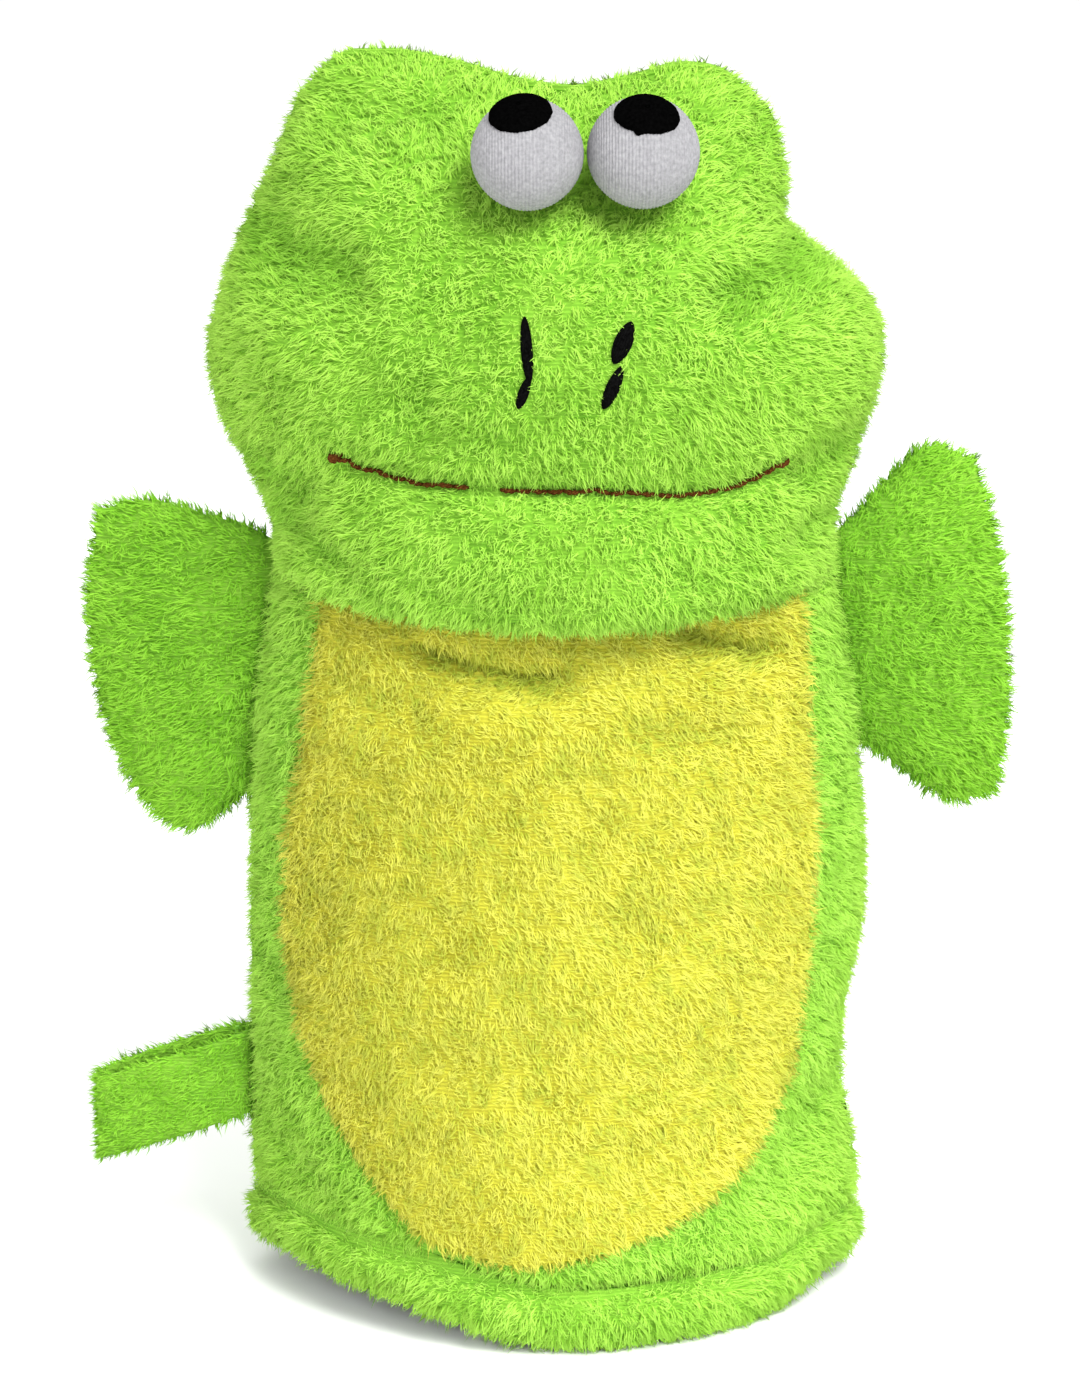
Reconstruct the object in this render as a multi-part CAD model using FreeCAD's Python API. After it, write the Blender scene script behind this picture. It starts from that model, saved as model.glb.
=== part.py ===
"""Frog hand puppet: a terry-cloth mitt with a nodding head, two padded flippers and a hanging loop.

Units are millimetres. +Z is up, the puppet faces -Y, and "left" is the -X side.
The origin is the centre of the hand opening, on the plane that the hem stands on.
Each cloth panel is a thin closed shell between an outer and an inner surface. A panel is a grid of
points: columns run from the left seam (angle 0) to the right seam (angle 180), rows run upwards.
"""
import FreeCAD
import Part
import math
import os

Vec = FreeCAD.Vector

# ---------------------------------------------------------------- driving dimensions
CLOTH = 2.4             # terry skin, backing and ground of the pile together
THIN_CLOTH = 1.8        # the cloth of flippers and loop
COLUMNS = 14            # columns of a panel's grid
HEM_HEIGHT = 12.0       # turned-up hem
HEM_THICKNESS = 2.0
HEM_GAP = 0.6           # between the hem and the panels that it is folded from
CREASE_Y = -26.0        # the neck crease that the head nods about
CREASE_Z = 143.0
NECK_SLOPE = math.tan(math.radians(7.0))   # room behind the crease for tipping the head back
HEM_LENS = 1.5          # how pointed the mitt's cross-section is at its side seams: at the hem,
NECK_LENS = 0.9         # and at the neck, where it is nearly an oval
HEAD_BASE_Z = 143.6     # lower edge of the head's panels
CHIN_Z = 139.6          # lowest point of the chin
UNDERFOLD = 5.4         # how far the chin's cloth is turned back to the neck seam
EYE_RADIUS = 10.2       # outside of the knitted cover
EYE_WALL = 0.7
EYE_LEFT_X = -4.8
EYE_RIGHT_X = 15.9
EYE_Z = 226.0
# Where each pupil faces, its turn in degrees, and its half-widths across and upwards.
LEFT_PUPIL = (Vec(-0.135, -0.427, 0.894), 10.0, 6.0, 5.5)
RIGHT_PUPIL = (Vec(0.053, -0.538, 0.841), -12.0, 6.2, 5.0)
STITCH_RADIUS = 0.45    # sewing thread of the seams
FLOSS_RADIUS = 0.95     # embroidery floss of nostrils
MOUTH_RADIUS = 0.6
FLIPPER_HALF_THICKNESS = 5.4
LOOP_HEIGHT = 18.0
LOOP_GAP = 2.7          # half the space between the two leaves of the loop
LOOP_SLOPE = 0.33       # how much the loop falls for each millimetre that it reaches out

# Seam lines: (height, x). The puppet is sewn a little unevenly, so left and right differ.
LEFT_SEAM = [(0, -59.6), (30, -59.0), (60, -58.6), (90, -58.4), (118, -57.2), (134, -54.8),
             (144, -53.4), (152, -54.4), (166, -60.4), (176, -63.6), (186, -64.4), (200, -60.2),
             (214, -54.4), (226, -49.2), (235, -45.4)]
RIGHT_SEAM = [(0, 59.6), (18, 59.8), (36, 57.8), (54, 57.6), (74, 59.0), (88, 59.4), (100, 58.8),
              (118, 57.4), (134, 55.2), (144, 54.0), (152, 54.4), (166, 57.4), (180, 60.9),
              (190, 60.6), (200, 52.5), (207, 45.4), (216, 44.4), (225, 42.4), (232, 39.2)]
# The crown seam, left to right: two brow bumps with a dip between them.
CROWN = [(-45.4, 235.0), (-40.4, 240.0), (-31.5, 241.6), (-18.0, 239.2), (-6.0, 235.8),
         (4.0, 234.8), (14.0, 236.6), (26.0, 239.6), (34.2, 238.0), (39.2, 232.0)]
# Depth of the cloth on the centre line, as (height, y), for the mitt below the neck.
TORSO_FRONT = [(0, -45.0), (14, -44.8), (34, -43.6), (60, -41.6), (84, -39.2), (104, -37.0),
               (120, -34.2), (132, -30.4), (138, -28.0), (143, -26.0)]
TORSO_BACK = [(0, 42.0), (14, 41.8), (34, 41.0), (60, 39.4), (84, 37.2), (104, 35.0),
              (120, 33.2), (132, 31.8), (138, 31.0), (143, 30.4)]
# The head's centre line as (height at the side seam, y, z), from the chin or the neck to the crown.
FACE = [(144.0, -34.6, CHIN_Z + 0.2), (145.4, -38.8, 140.2), (147.4, -42.0, 143.6),
        (150.4, -43.0, 149.6), (155.6, -41.0, 158.0), (162.0, -38.4, 165.6), (170.0, -39.8, 174.6),
        (180.0, -40.2, 186.0), (191.0, -37.6, 198.0), (203.0, -31.6, 209.4), (214.0, -25.4, 217.4),
        (223.5, -18.4, 224.0), (230.0, -10.6, 230.0), (235.0, 0.0, 235.0)]
NAPE = [(HEAD_BASE_Z, 30.8, HEAD_BASE_Z), (150.0, 31.4, 150.0), (160.0, 33.0, 161.0),
        (171.0, 34.6, 173.0), (182.0, 35.0, 185.0), (193.0, 33.6, 197.0), (204.0, 30.4, 208.0),
        (214.0, 25.6, 217.6), (223.5, 18.8, 225.6), (230.0, 10.8, 231.2), (235.0, 0.0, 235.0)]
# Left and right edges of the yellow belly, as (height, x).
BELLY_LEFT = [(17.4, -22.0), (20, -26.5), (25, -31.8), (33, -37.6), (49, -45.2), (68, -50.6),
              (88, -50.4), (116, -46.8), (136, -43.6)]
BELLY_RIGHT = [(17.4, -5.0), (20, 9.0), (25, 24.0), (32, 34.4), (44, 42.6), (64, 47.6), (88, 48.6),
               (116, 47.8), (136, 45.6)]
BELLY_ROWS = [17.4, 19.5, 23, 29, 38, 50, 66, 84, 102, 118, 129, 136]
BELLY_GAP = 0.4         # between the belly and the panel that it is sewn on
BELLY_CLOTH = 2.0

# Flipper outlines in the XZ plane: four edges, each from its first corner to its last.
LEFT_FLIPPER = {
    "root": [(-60.4, 96.0), (-59.2, 112.0), (-57.6, 131.0), (-56.6, 149.0)],
    "top": [(-56.6, 149.0), (-65.0, 151.6), (-76.0, 154.2), (-84.0, 151.2)],
    "outer": [(-73.5, 90.6), (-79.6, 99.0), (-84.4, 114.0), (-87.2, 131.0), (-84.0, 151.2)],
    "bottom": [(-60.4, 96.0), (-63.2, 91.6), (-68.2, 89.2), (-73.5, 90.6)],
}
RIGHT_FLIPPER = {
    "root": [(60.4, 106.0), (59.6, 120.0), (58.2, 136.0), (57.0, 150.0)],
    "top": [(57.0, 150.0), (62.6, 158.4), (70.0, 164.6), (78.4, 160.6)],
    "outer": [(85.0, 96.8), (86.9, 108.0), (86.6, 126.0), (83.4, 147.0), (78.4, 160.6)],
    "bottom": [(60.4, 106.0), (68.4, 100.2), (77.2, 95.2), (85.0, 96.8)],
}
ROOT_TO_AXIS = 0.9      # the sewn root line lies this far inside the flipper's own edge
LOOP_ROOT_X = -62.2
LOOP_AXIS_X = -61.2
LOOP_ROOT_Z = 31.0
LOOP_LENGTH = 29.4

# Embroidery, as (x, z) on the face.
MOUTH_LINE = [(-40.4, 169.6), (-34.0, 168.2), (-27.0, 167.2), (-19.0, 166.6), (-9.0, 166.2),
              (3.0, 166.0), (15.0, 165.4), (27.0, 165.4), (35.0, 166.2), (43.0, 168.8)]
MOUTH_STITCHES = 14
SKIPPED_STITCH = 4      # the pile hides this one
NOSTRIL_LEFT = [[(-5.2, 199.0), (-4.6, 187.0)], [(-4.6, 186.4), (-6.0, 181.8)]]
NOSTRIL_RIGHT = [[(13.5, 197.8), (10.9, 190.2)], [(11.6, 189.4), (8.9, 182.4)]]


# ---------------------------------------------------------------- curves through a few points
def smooth(points, t):
    """The value at t of a smooth curve through (t, value) points."""
    last = len(points) - 2
    i = 0
    while i < last and t > points[i + 1][0]:
        i += 1

    def slope(k):
        a = points[max(k - 1, 0)]
        b = points[min(k + 1, len(points) - 1)]
        return (b[1] - a[1]) / (b[0] - a[0])

    (t0, v0), (t1, v1) = points[i], points[i + 1]
    width = t1 - t0
    s = (t - t0) / width
    return (v0 * (1 + 2 * s) * (1 - s) ** 2 + slope(i) * width * s * (1 - s) ** 2
            + v1 * s * s * (3 - 2 * s) + slope(i + 1) * width * s * s * (s - 1))


def along(points, s):
    """The point at share s, from 0 to 1, of a smooth line through 2-D points."""
    lengths = [0.0]
    for a, b in zip(points, points[1:]):
        lengths.append(lengths[-1] + math.dist(a, b))
    t = s * lengths[-1]
    return tuple(smooth([(d, p[k]) for d, p in zip(lengths, points)], t) for k in range(2))


# ---------------------------------------------------------------- solids from point grids
def cubic_knots(poles):
    """Knots and multiplicities of a cubic curve with this many control points."""
    return [float(k) for k in range(poles - 2)], [4] + [1] * (poles - 4) + [4]


def spline_face(grid):
    """A smooth face whose control points are the grid, with its edges on the grid's edges."""
    rows, columns = len(grid), len(grid[0])

    u_knots, u_mults = cubic_knots(rows)
    v_knots, v_mults = cubic_knots(columns)
    surface = Part.BSplineSurface()
    surface.buildFromPolesMultsKnots(grid, u_mults, v_mults, u_knots, v_knots,
                                     False, False, 3, 3)
    return surface.toShape()


def border(grid):
    """The grid's four edges as point lists, in a closed round."""
    return [grid[0], [row[-1] for row in grid], grid[-1], [row[0] for row in grid]]


def spline_edge(points):
    """The edge of spline_face along one side of its grid."""
    knots, mults = cubic_knots(len(points))
    curve = Part.BSplineCurve()
    curve.buildFromPolesMultsKnots(points, mults, knots, False, 3)
    return curve.toShape()


def solid_between(outer, inner):
    """The closed solid between two grids of the same size."""
    faces = [spline_face(outer), spline_face(inner)]
    for a, b in zip(border(outer), border(inner)):
        faces.append(Part.makeRuledSurface(spline_edge(a), spline_edge(b)))
    shell = Part.makeShell(faces)
    shell.sewShape()
    solid = Part.makeSolid(shell)
    solid.fix(0.001, 0.001, 0.01)
    if solid.Volume < 0:
        solid.reverse()
    return solid


def normals(grid, side):
    """Unit normals of a grid, turned so that they point to side * Y where the grid faces it."""
    rows, columns = len(grid), len(grid[0])
    found = []
    for i in range(rows):
        line = []
        for j in range(columns):
            along_row = grid[i][min(j + 1, columns - 1)] - grid[i][max(j - 1, 0)]
            up = grid[min(i + 1, rows - 1)][j] - grid[max(i - 1, 0)][j]
            n = along_row.cross(up)
            n.normalize()
            line.append(n * -side)
        found.append(line)
    return found


def flat_inward(a, b):
    """The unit vector in the XZ plane at right angles to a to b, pointing to its right."""
    d = b - a
    n = Vec(d.z, 0, -d.x)
    n.normalize()
    return n


def inset(grid, thickness, side, flat_rows=(), closed_top=False):
    """The grid moved inwards by the cloth's thickness. Seam edges stay in the plane y = 0.

    side is -1 for a front panel and 1 for a back panel. Rows named in flat_rows move level, so
    that their edge stays where it is cut. closed_top keeps the top row in the plane y = 0.
    """
    rows, columns = len(grid), len(grid[0])
    outward = normals(grid, side)
    moved = []
    for i in range(rows):
        line = []
        below, above = max(i - 1, 0), min(i + 1, rows - 1)
        for j in range(columns):
            n = outward[i][j] * -1
            if closed_top and i == rows - 1:
                n = flat_inward(grid[i][max(j - 1, 0)], grid[i][min(j + 1, columns - 1)])
            if j == 0:
                edge = flat_inward(grid[below][0], grid[above][0])
                n = (n + edge) if closed_top and i == rows - 1 else edge
            if j == columns - 1:
                edge = flat_inward(grid[above][-1], grid[below][-1])
                n = (n + edge) if closed_top and i == rows - 1 else edge
            if i in flat_rows:
                n = Vec(n.x, n.y, 0)
            n.normalize()
            line.append(grid[i][j] + n * thickness)
        moved.append(line)
    return moved


# ---------------------------------------------------------------- the mitt's own surfaces
def seam_xs(z):
    """Left and right seam positions at a height."""
    return smooth(LEFT_SEAM, z), smooth(RIGHT_SEAM, z)


def lens(z):
    """The power that shapes the mitt's cross-section at a height."""
    return HEM_LENS + (NECK_LENS - HEM_LENS) * z / CREASE_Z


def torso_point(z, angle, depth_line):
    """A point of the mitt below the neck. Its top is cut by a plane through the crease."""
    left, right = seam_xs(z)
    x = (left + right) / 2 - (right - left) / 2 * math.cos(angle)
    y = smooth(depth_line, z) * math.sin(angle) ** lens(z)
    top_share = max(0.0, (z - 118.0) / (CREASE_Z - 0.5 - 118.0))
    return Vec(x, y, z - top_share * (y - CREASE_Y) * NECK_SLOPE)


def torso_grid(depth_line):
    heights = [0, 7, 18, 34, 52, 70, 87, 103, 118, 128, 136, CREASE_Z - 0.5]
    angles = [math.pi * k / COLUMNS for k in range(COLUMNS + 1)]
    return [[torso_point(z, a, depth_line) for a in angles] for z in heights]


def torso_front_y(x, z):
    """Depth of the front panel's outer face at a place below the neck."""
    left, right = seam_xs(z)
    c = max(-1.0, min(1.0, ((left + right) / 2 - x) / ((right - left) / 2)))
    return smooth(TORSO_FRONT, z) * math.sqrt(1 - c * c) ** lens(z)


def head_grid(profile):
    """The face or the back of the head: rows from the neck to the crown seam."""
    base = profile[0][0]
    grid = []
    for side_z, centre_y, centre_z in profile:
        rise = (side_z - base) / (CROWN[0][1] - base)
        left_z = side_z
        right_z = base + rise * (CROWN[-1][1] - base)
        left, right = smooth(LEFT_SEAM, left_z), smooth(RIGHT_SEAM, right_z)
        row = []
        for k in range(COLUMNS + 1):
            angle = math.pi * k / COLUMNS
            across = (1 - math.cos(angle)) / 2
            x = left + (right - left) * across
            level = left_z + (right_z - left_z) * across
            crown_x = CROWN[0][0] + (CROWN[-1][0] - CROWN[0][0]) * across
            crown_level = CROWN[0][1] + (CROWN[-1][1] - CROWN[0][1]) * across
            bump = smooth(CROWN, crown_x) - crown_level
            bulge = (centre_z - side_z) * math.sin(angle) ** 1.3
            row.append(Vec(x, centre_y * math.sin(angle) ** NECK_LENS,
                           level + bulge * (1 - rise ** 6) + bump * rise ** 3))
        grid.append(row)
    return grid


def torso_panels():
    front = torso_grid(TORSO_FRONT)
    back = torso_grid(TORSO_BACK)
    ends = (0, len(front) - 1)
    front_inner = inset(front, CLOTH, -1, ends)
    back_inner = inset(back, CLOTH, 1, ends)
    return solid_between(front, front_inner), solid_between(back, back_inner)


def head_panels():
    face = head_grid(FACE)
    nape = head_grid(NAPE)
    face_inner = inset(face, CLOTH, -1, (), True)
    nape_inner = inset(nape, CLOTH, 1, (0,), True)
    return solid_between(face, face_inner), solid_between(nape, nape_inner)


def chin_underfold():
    """The face's lower edge, turned under the chin and back to the neck seam."""
    chin = head_grid(FACE)[0]
    ends = 3
    outer = []
    for share in (0.0, 0.35, 0.7, 1.0):
        row = []
        for p in chin[ends:-ends]:
            z = p.z + 0.25 + (HEAD_BASE_Z + 1.0 - p.z) * share ** 1.4
            row.append(Vec(p.x * (1 - 0.03 * share), p.y + 2.8 + UNDERFOLD * share, z))
        outer.append(row)
    inner = [[p + Vec(0, 0.5, THIN_CLOTH) for p in row] for row in outer]
    return solid_between(outer, inner)


def belly_panel():
    inner, outer = [], []
    for z in BELLY_ROWS:
        left, right = smooth(BELLY_LEFT, z), smooth(BELLY_RIGHT, z)
        inner_row, outer_row = [], []
        for k in range(COLUMNS + 1):
            x = left + (right - left) * k / COLUMNS
            y = torso_front_y(x, z)
            slope = (torso_front_y(x + 0.5, z) - torso_front_y(x - 0.5, z))
            n = Vec(slope, -1, 0)
            n.normalize()
            inner_row.append(Vec(x, y, z) + n * BELLY_GAP)
            outer_row.append(Vec(x, y, z) + n * (BELLY_GAP + BELLY_CLOTH))
        inner.append(inner_row)
        outer.append(outer_row)
    return solid_between(outer, inner)


def hem_band():
    """The hem, turned up inside the opening and standing on the plane z = 0."""
    loops = []
    for gap in (CLOTH + HEM_GAP, CLOTH + HEM_GAP + HEM_THICKNESS):
        front = inset(torso_grid(TORSO_FRONT), gap, -1, (0,))[0]
        back = inset(torso_grid(TORSO_BACK), gap, 1, (0,))[0]
        loops.append(Part.Wire([spline_edge(front), spline_edge(back)]))
    ring = Part.Face(loops)
    ring.validate()
    return ring.extrude(Vec(0, 0, HEM_HEIGHT))


# ---------------------------------------------------------------- thread and stitches
def thread(a, b, radius, waist=1.0):
    """One stitch from a to b, a little thinner at its ends."""
    d = b - a
    length = d.Length
    end = length * 0.2
    tip = radius * 0.55
    parts = [Part.makeCone(tip, radius, end, a, d),
             Part.makeCylinder(radius * waist, length - 2 * end, a + d * (end / length), d),
             Part.makeCone(radius, tip, end, b - d * (end / length), d)]
    return parts[0].fuse(parts[1:]).removeSplitter()


def on_face(face, x, z, lift):
    """The point of a front face at x and z, lifted off it, and None where it misses."""
    line = Part.Line(Vec(x, -90, z), Vec(x, 0, z))
    hits = line.intersectCS(face.Surface)[0]
    front = [Vec(p.X, p.Y, p.Z) for p in hits if p.Y < 1.0]
    if not front:
        return None
    p = min(front, key=lambda q: q.y)
    u, v = face.Surface.parameter(p)
    n = face.Surface.normal(u, v)
    if n.y > 0:
        n = n * -1
    return p + n * lift


def stitches_on(face, pairs, radius):
    """One solid for each pair of (x, z) ends, lying on the face."""
    made = []
    for (x0, z0), (x1, z1) in pairs:
        a = on_face(face, x0, z0, radius + 0.45)
        b = on_face(face, x1, z1, radius + 0.45)
        made.append(thread(a, b, radius))
    return Part.makeCompound(made)


def mouth_pairs():
    pairs = []
    for k in range(MOUTH_STITCHES):
        if k != SKIPPED_STITCH:
            a = along(MOUTH_LINE, (k + 0.05) / MOUTH_STITCHES)
            b = along(MOUTH_LINE, (k + 0.93) / MOUTH_STITCHES)
            pairs.append((a, b))
    return pairs


def hem_stitches():
    """Running stitches round the mitt at the top of the hem."""
    count = 56
    made = []
    for k in range(count):
        ends = []
        for part in (0.18, 0.82):
            turn = 2 * math.pi * (k + part) / count
            line = TORSO_FRONT if turn < math.pi else TORSO_BACK
            left, right = seam_xs(HEM_HEIGHT)
            half = (right - left) / 2 + STITCH_RADIUS + 0.25
            depth = abs(smooth(line, HEM_HEIGHT)) + STITCH_RADIUS + 0.25
            side = -1 if turn < math.pi else 1
            y = side * depth * abs(math.sin(turn)) ** lens(HEM_HEIGHT)
            ends.append(Vec((left + right) / 2 - half * math.cos(turn), y, HEM_HEIGHT - 1.0))
        made.append(thread(ends[0], ends[1], STITCH_RADIUS))
    return Part.makeCompound(made)


def belly_stitches(front):
    """Stitches over the belly's edge, from the chin down one side and up the other."""
    count = 30
    made = []
    for edge, turn in ((BELLY_LEFT, -1), (BELLY_RIGHT, 1)):
        for k in range(count):
            z = 20.0 + (134.0 - 20.0) * (k + 0.5) / count
            x = smooth(edge, z) + turn * 1.0
            p = on_face(front, x, z, STITCH_RADIUS + 0.25)
            q = on_face(front, x + smooth_step(edge, z), z + 2.4, STITCH_RADIUS + 0.25)
            made.append(thread(p, q, STITCH_RADIUS))
    return Part.makeCompound(made)


def smooth_step(edge, z):
    """How far an edge moves sideways in the height of one stitch."""
    return smooth(edge, z + 2.4) - smooth(edge, z)


def neck_stitches():
    """The seam under the chin, on the crease that the head nods about."""
    made = []
    pitch = 5.0
    for k in range(-2, 3):
        a = Vec(k * pitch - 1.6, CREASE_Y, CREASE_Z)
        made.append(thread(a, a + Vec(3.2, 0, 0), 0.3))
    return Part.makeCompound(made)


# ---------------------------------------------------------------- seam allowances inside
def seam_allowance(seam, low, high, turn, reach=6.0, rows=10):
    """The two turned-in cloth edges along a side seam, inside the mitt."""
    edge = CLOTH + 0.9
    front, back = [], []
    for k in range(rows):
        z = low + (high - low) * k / (rows - 1)
        x = smooth(seam, z) + turn * edge
        xs = [x + turn * reach * s for s in (0.0, 0.34, 0.67, 1.0)]
        front.append([Vec(q, -1.2, z) for q in xs])
        back.append([Vec(q, 1.2, z) for q in xs])
    return solid_between(front, back)


def crown_allowance():
    """The turned-in edges under the crown seam."""
    rows = []
    for k in range(11):
        x = -35.0 + 64.0 * k / 10
        z = smooth(CROWN, x) - CLOTH - 2.0
        rows.append((x, z))
    front = [[Vec(x * (1 - 0.04 * s), -1.2, z - 6.0 * s) for s in (0, 0.33, 0.66, 1)] for x, z in rows]
    back = [[Vec(p.x, 1.2, p.z) for p in row] for row in front]
    return solid_between(front, back)


# ---------------------------------------------------------------- eyes
def eye_centre(face, x):
    """Where an eye's centre lies, so that its cover just clears the face."""
    low, high = -60.0, -10.0
    for _ in range(18):
        y = (low + high) / 2
        ball = Part.Vertex(Vec(x, y, EYE_Z))
        if ball.distToShape(face)[0] > EYE_RADIUS + 0.25:
            low = y
        else:
            high = y
    return Vec(x, low, EYE_Z)


def pupil(centre, gaze, twist, wide, high):
    """A thin oval of black cloth on the cover, round the way that the eye looks."""
    outer = Part.makeSphere(EYE_RADIUS + 0.75, centre)
    cut = Part.makeSphere(EYE_RADIUS + 0.05, centre)
    oval = Part.makeCylinder(1.0, EYE_RADIUS + 5.0)
    stretch = FreeCAD.Matrix()
    stretch.scale(wide, high, 1.0)
    oval = oval.transformGeometry(stretch)
    forward = Vec(gaze)
    forward.normalize()
    aim = FreeCAD.Rotation(Vec(1, 0, 0), forward.cross(Vec(1, 0, 0)) * -1, forward, "ZXY")
    spin = FreeCAD.Rotation(Vec(0, 0, 1), twist)
    oval.Placement = FreeCAD.Placement(centre, aim * spin)
    return outer.cut(cut).common(oval)


def eye_pieces(centre, root, spot):
    """Core ball, knitted cover, pupil and the thread that ties them to the head."""
    wall = EYE_RADIUS - EYE_WALL
    core = Part.makeSphere(wall - 0.05, centre)
    cover = Part.makeSphere(EYE_RADIUS, centre).cut(Part.makeSphere(wall, centre))
    inward = root - centre
    inward.normalize()
    tail = Part.makeCylinder(1.1, 2 * EYE_RADIUS, centre, inward)
    cover = cover.cut(tail)
    start = centre + inward * (wall + 0.1)
    tie = Part.makeCylinder(0.7, 7.0, start, inward)
    knot = Part.makeSphere(1.7, start + inward * 7.6)
    return core, cover, pupil(centre, *spot), tie.fuse(knot)


# ---------------------------------------------------------------- flippers and loop
def flipper_grid(outline, half_thickness, side):
    """One face of a flipper: rows from the bottom edge to the top edge, columns from the root."""
    columns, rows = 10, 11
    grid = []
    for i in range(rows):
        beta = math.pi * i / (rows - 1)
        v = (1 - math.cos(beta)) / 2
        row = []
        for j in range(columns):
            alpha = math.pi * j / (columns - 1)
            u = (1 - math.cos(alpha)) / 2
            root, outer = along(outline["root"], v), along(outline["outer"], v)
            bottom, top = along(outline["bottom"], u), along(outline["top"], u)
            corners = [outline["root"][0], outline["root"][-1], outline["outer"][0],
                       outline["outer"][-1]]
            place = []
            for k in range(2):
                sides = root[k] * (1 - u) + outer[k] * u + bottom[k] * (1 - v) + top[k] * v
                flat = (corners[0][k] * (1 - u) * (1 - v) + corners[1][k] * (1 - u) * v
                        + corners[2][k] * u * (1 - v) + corners[3][k] * u * v)
                place.append(sides - flat)
            y = side * half_thickness * (math.sin(alpha) * math.sin(beta)) ** 0.8
            row.append(Vec(place[0], y, place[1]))
        grid.append(row)
    return grid


def shrunk(grid, by):
    """A flipper grid drawn in towards its middle, by about that many millimetres."""
    rows, columns = len(grid), len(grid[0])
    middle = grid[rows // 2][columns // 2]
    points = [p for row in grid for p in row]
    wide = (max(p.x for p in points) - min(p.x for p in points)) / 2
    high = (max(p.z for p in points) - min(p.z for p in points)) / 2
    thick = max(abs(p.y) for p in points)
    sx, sy, sz = 1 - by / wide, 1 - by / thick, 1 - by / high
    return [[Vec(middle.x + (p.x - middle.x) * sx, p.y * sy, middle.z + (p.z - middle.z) * sz)
             for p in row] for row in grid]


def flipper(outline):
    """Front cloth, back cloth and wadding of one flipper."""
    pieces = []
    for side in (-1, 1):
        outer = flipper_grid(outline, FLIPPER_HALF_THICKNESS, side)
        outer = [[p + Vec(0, side * 0.02, 0) for p in row] for row in outer]
        pieces.append(solid_between(outer, shrunk(outer, THIN_CLOTH)))
    front = shrunk(flipper_grid(outline, FLIPPER_HALF_THICKNESS, -1), THIN_CLOTH + 0.4)
    front = [[p + Vec(0, -0.05, 0) for p in row] for row in front]
    back = [[Vec(p.x, -p.y, p.z) for p in row] for row in front]
    pieces.append(solid_between(front, back))
    return pieces


def root_thread(outline, turn, high):
    """The seam thread at a flipper's root, on the line that the flipper swings about."""
    low_point, high_point = outline["root"][0], outline["root"][-1]
    a = Vec(low_point[0] - turn * ROOT_TO_AXIS, 0, low_point[1])
    b = Vec(high_point[0] - turn * ROOT_TO_AXIS, 0, high_point[1])
    share = (high - low_point[1]) / (high_point[1] - low_point[1])
    return Part.makeCylinder(STITCH_RADIUS, (b - a).Length * share, a, b - a)


def hanging_loop():
    """A doubled strap: two leaves and the fold at its outer end."""
    out = Vec(-1, 0, -LOOP_SLOPE)
    root = Vec(LOOP_ROOT_X, 0, LOOP_ROOT_Z)
    half = LOOP_GAP + THIN_CLOTH
    length = LOOP_LENGTH

    def wire(profile):
        points = [root + out * d + Vec(0, y, 0) for d, y in profile]
        points += [root + out * d + Vec(0, -y, 0) for d, y in reversed(profile[:-1])]
        curve = Part.BSplineCurve()
        curve.interpolate(points)
        closing = Part.makeLine(points[-1], points[0])
        return Part.Wire([curve.toShape(), closing])

    outside = wire([(0, THIN_CLOTH + 0.5), (5, half * 0.82), (12, half), (22, half * 0.98),
                    (27.4, half * 0.66), (length, 0)])
    inside = wire([(0.6, 0.5), (5, LOOP_GAP * 0.76), (12, LOOP_GAP), (22, LOOP_GAP * 0.96),
                   (26.2, LOOP_GAP * 0.6), (length - THIN_CLOTH, 0)])
    up = Vec(0, 0, LOOP_HEIGHT)
    return Part.Face(outside).extrude(up).cut(Part.Face(inside).extrude(up))


def loop_thread():
    """The bar of thread that holds the loop in the side seam, on the line that it swings about."""
    return Part.makeCylinder(STITCH_RADIUS, LOOP_HEIGHT, Vec(LOOP_AXIS_X, 0, LOOP_ROOT_Z))


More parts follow.
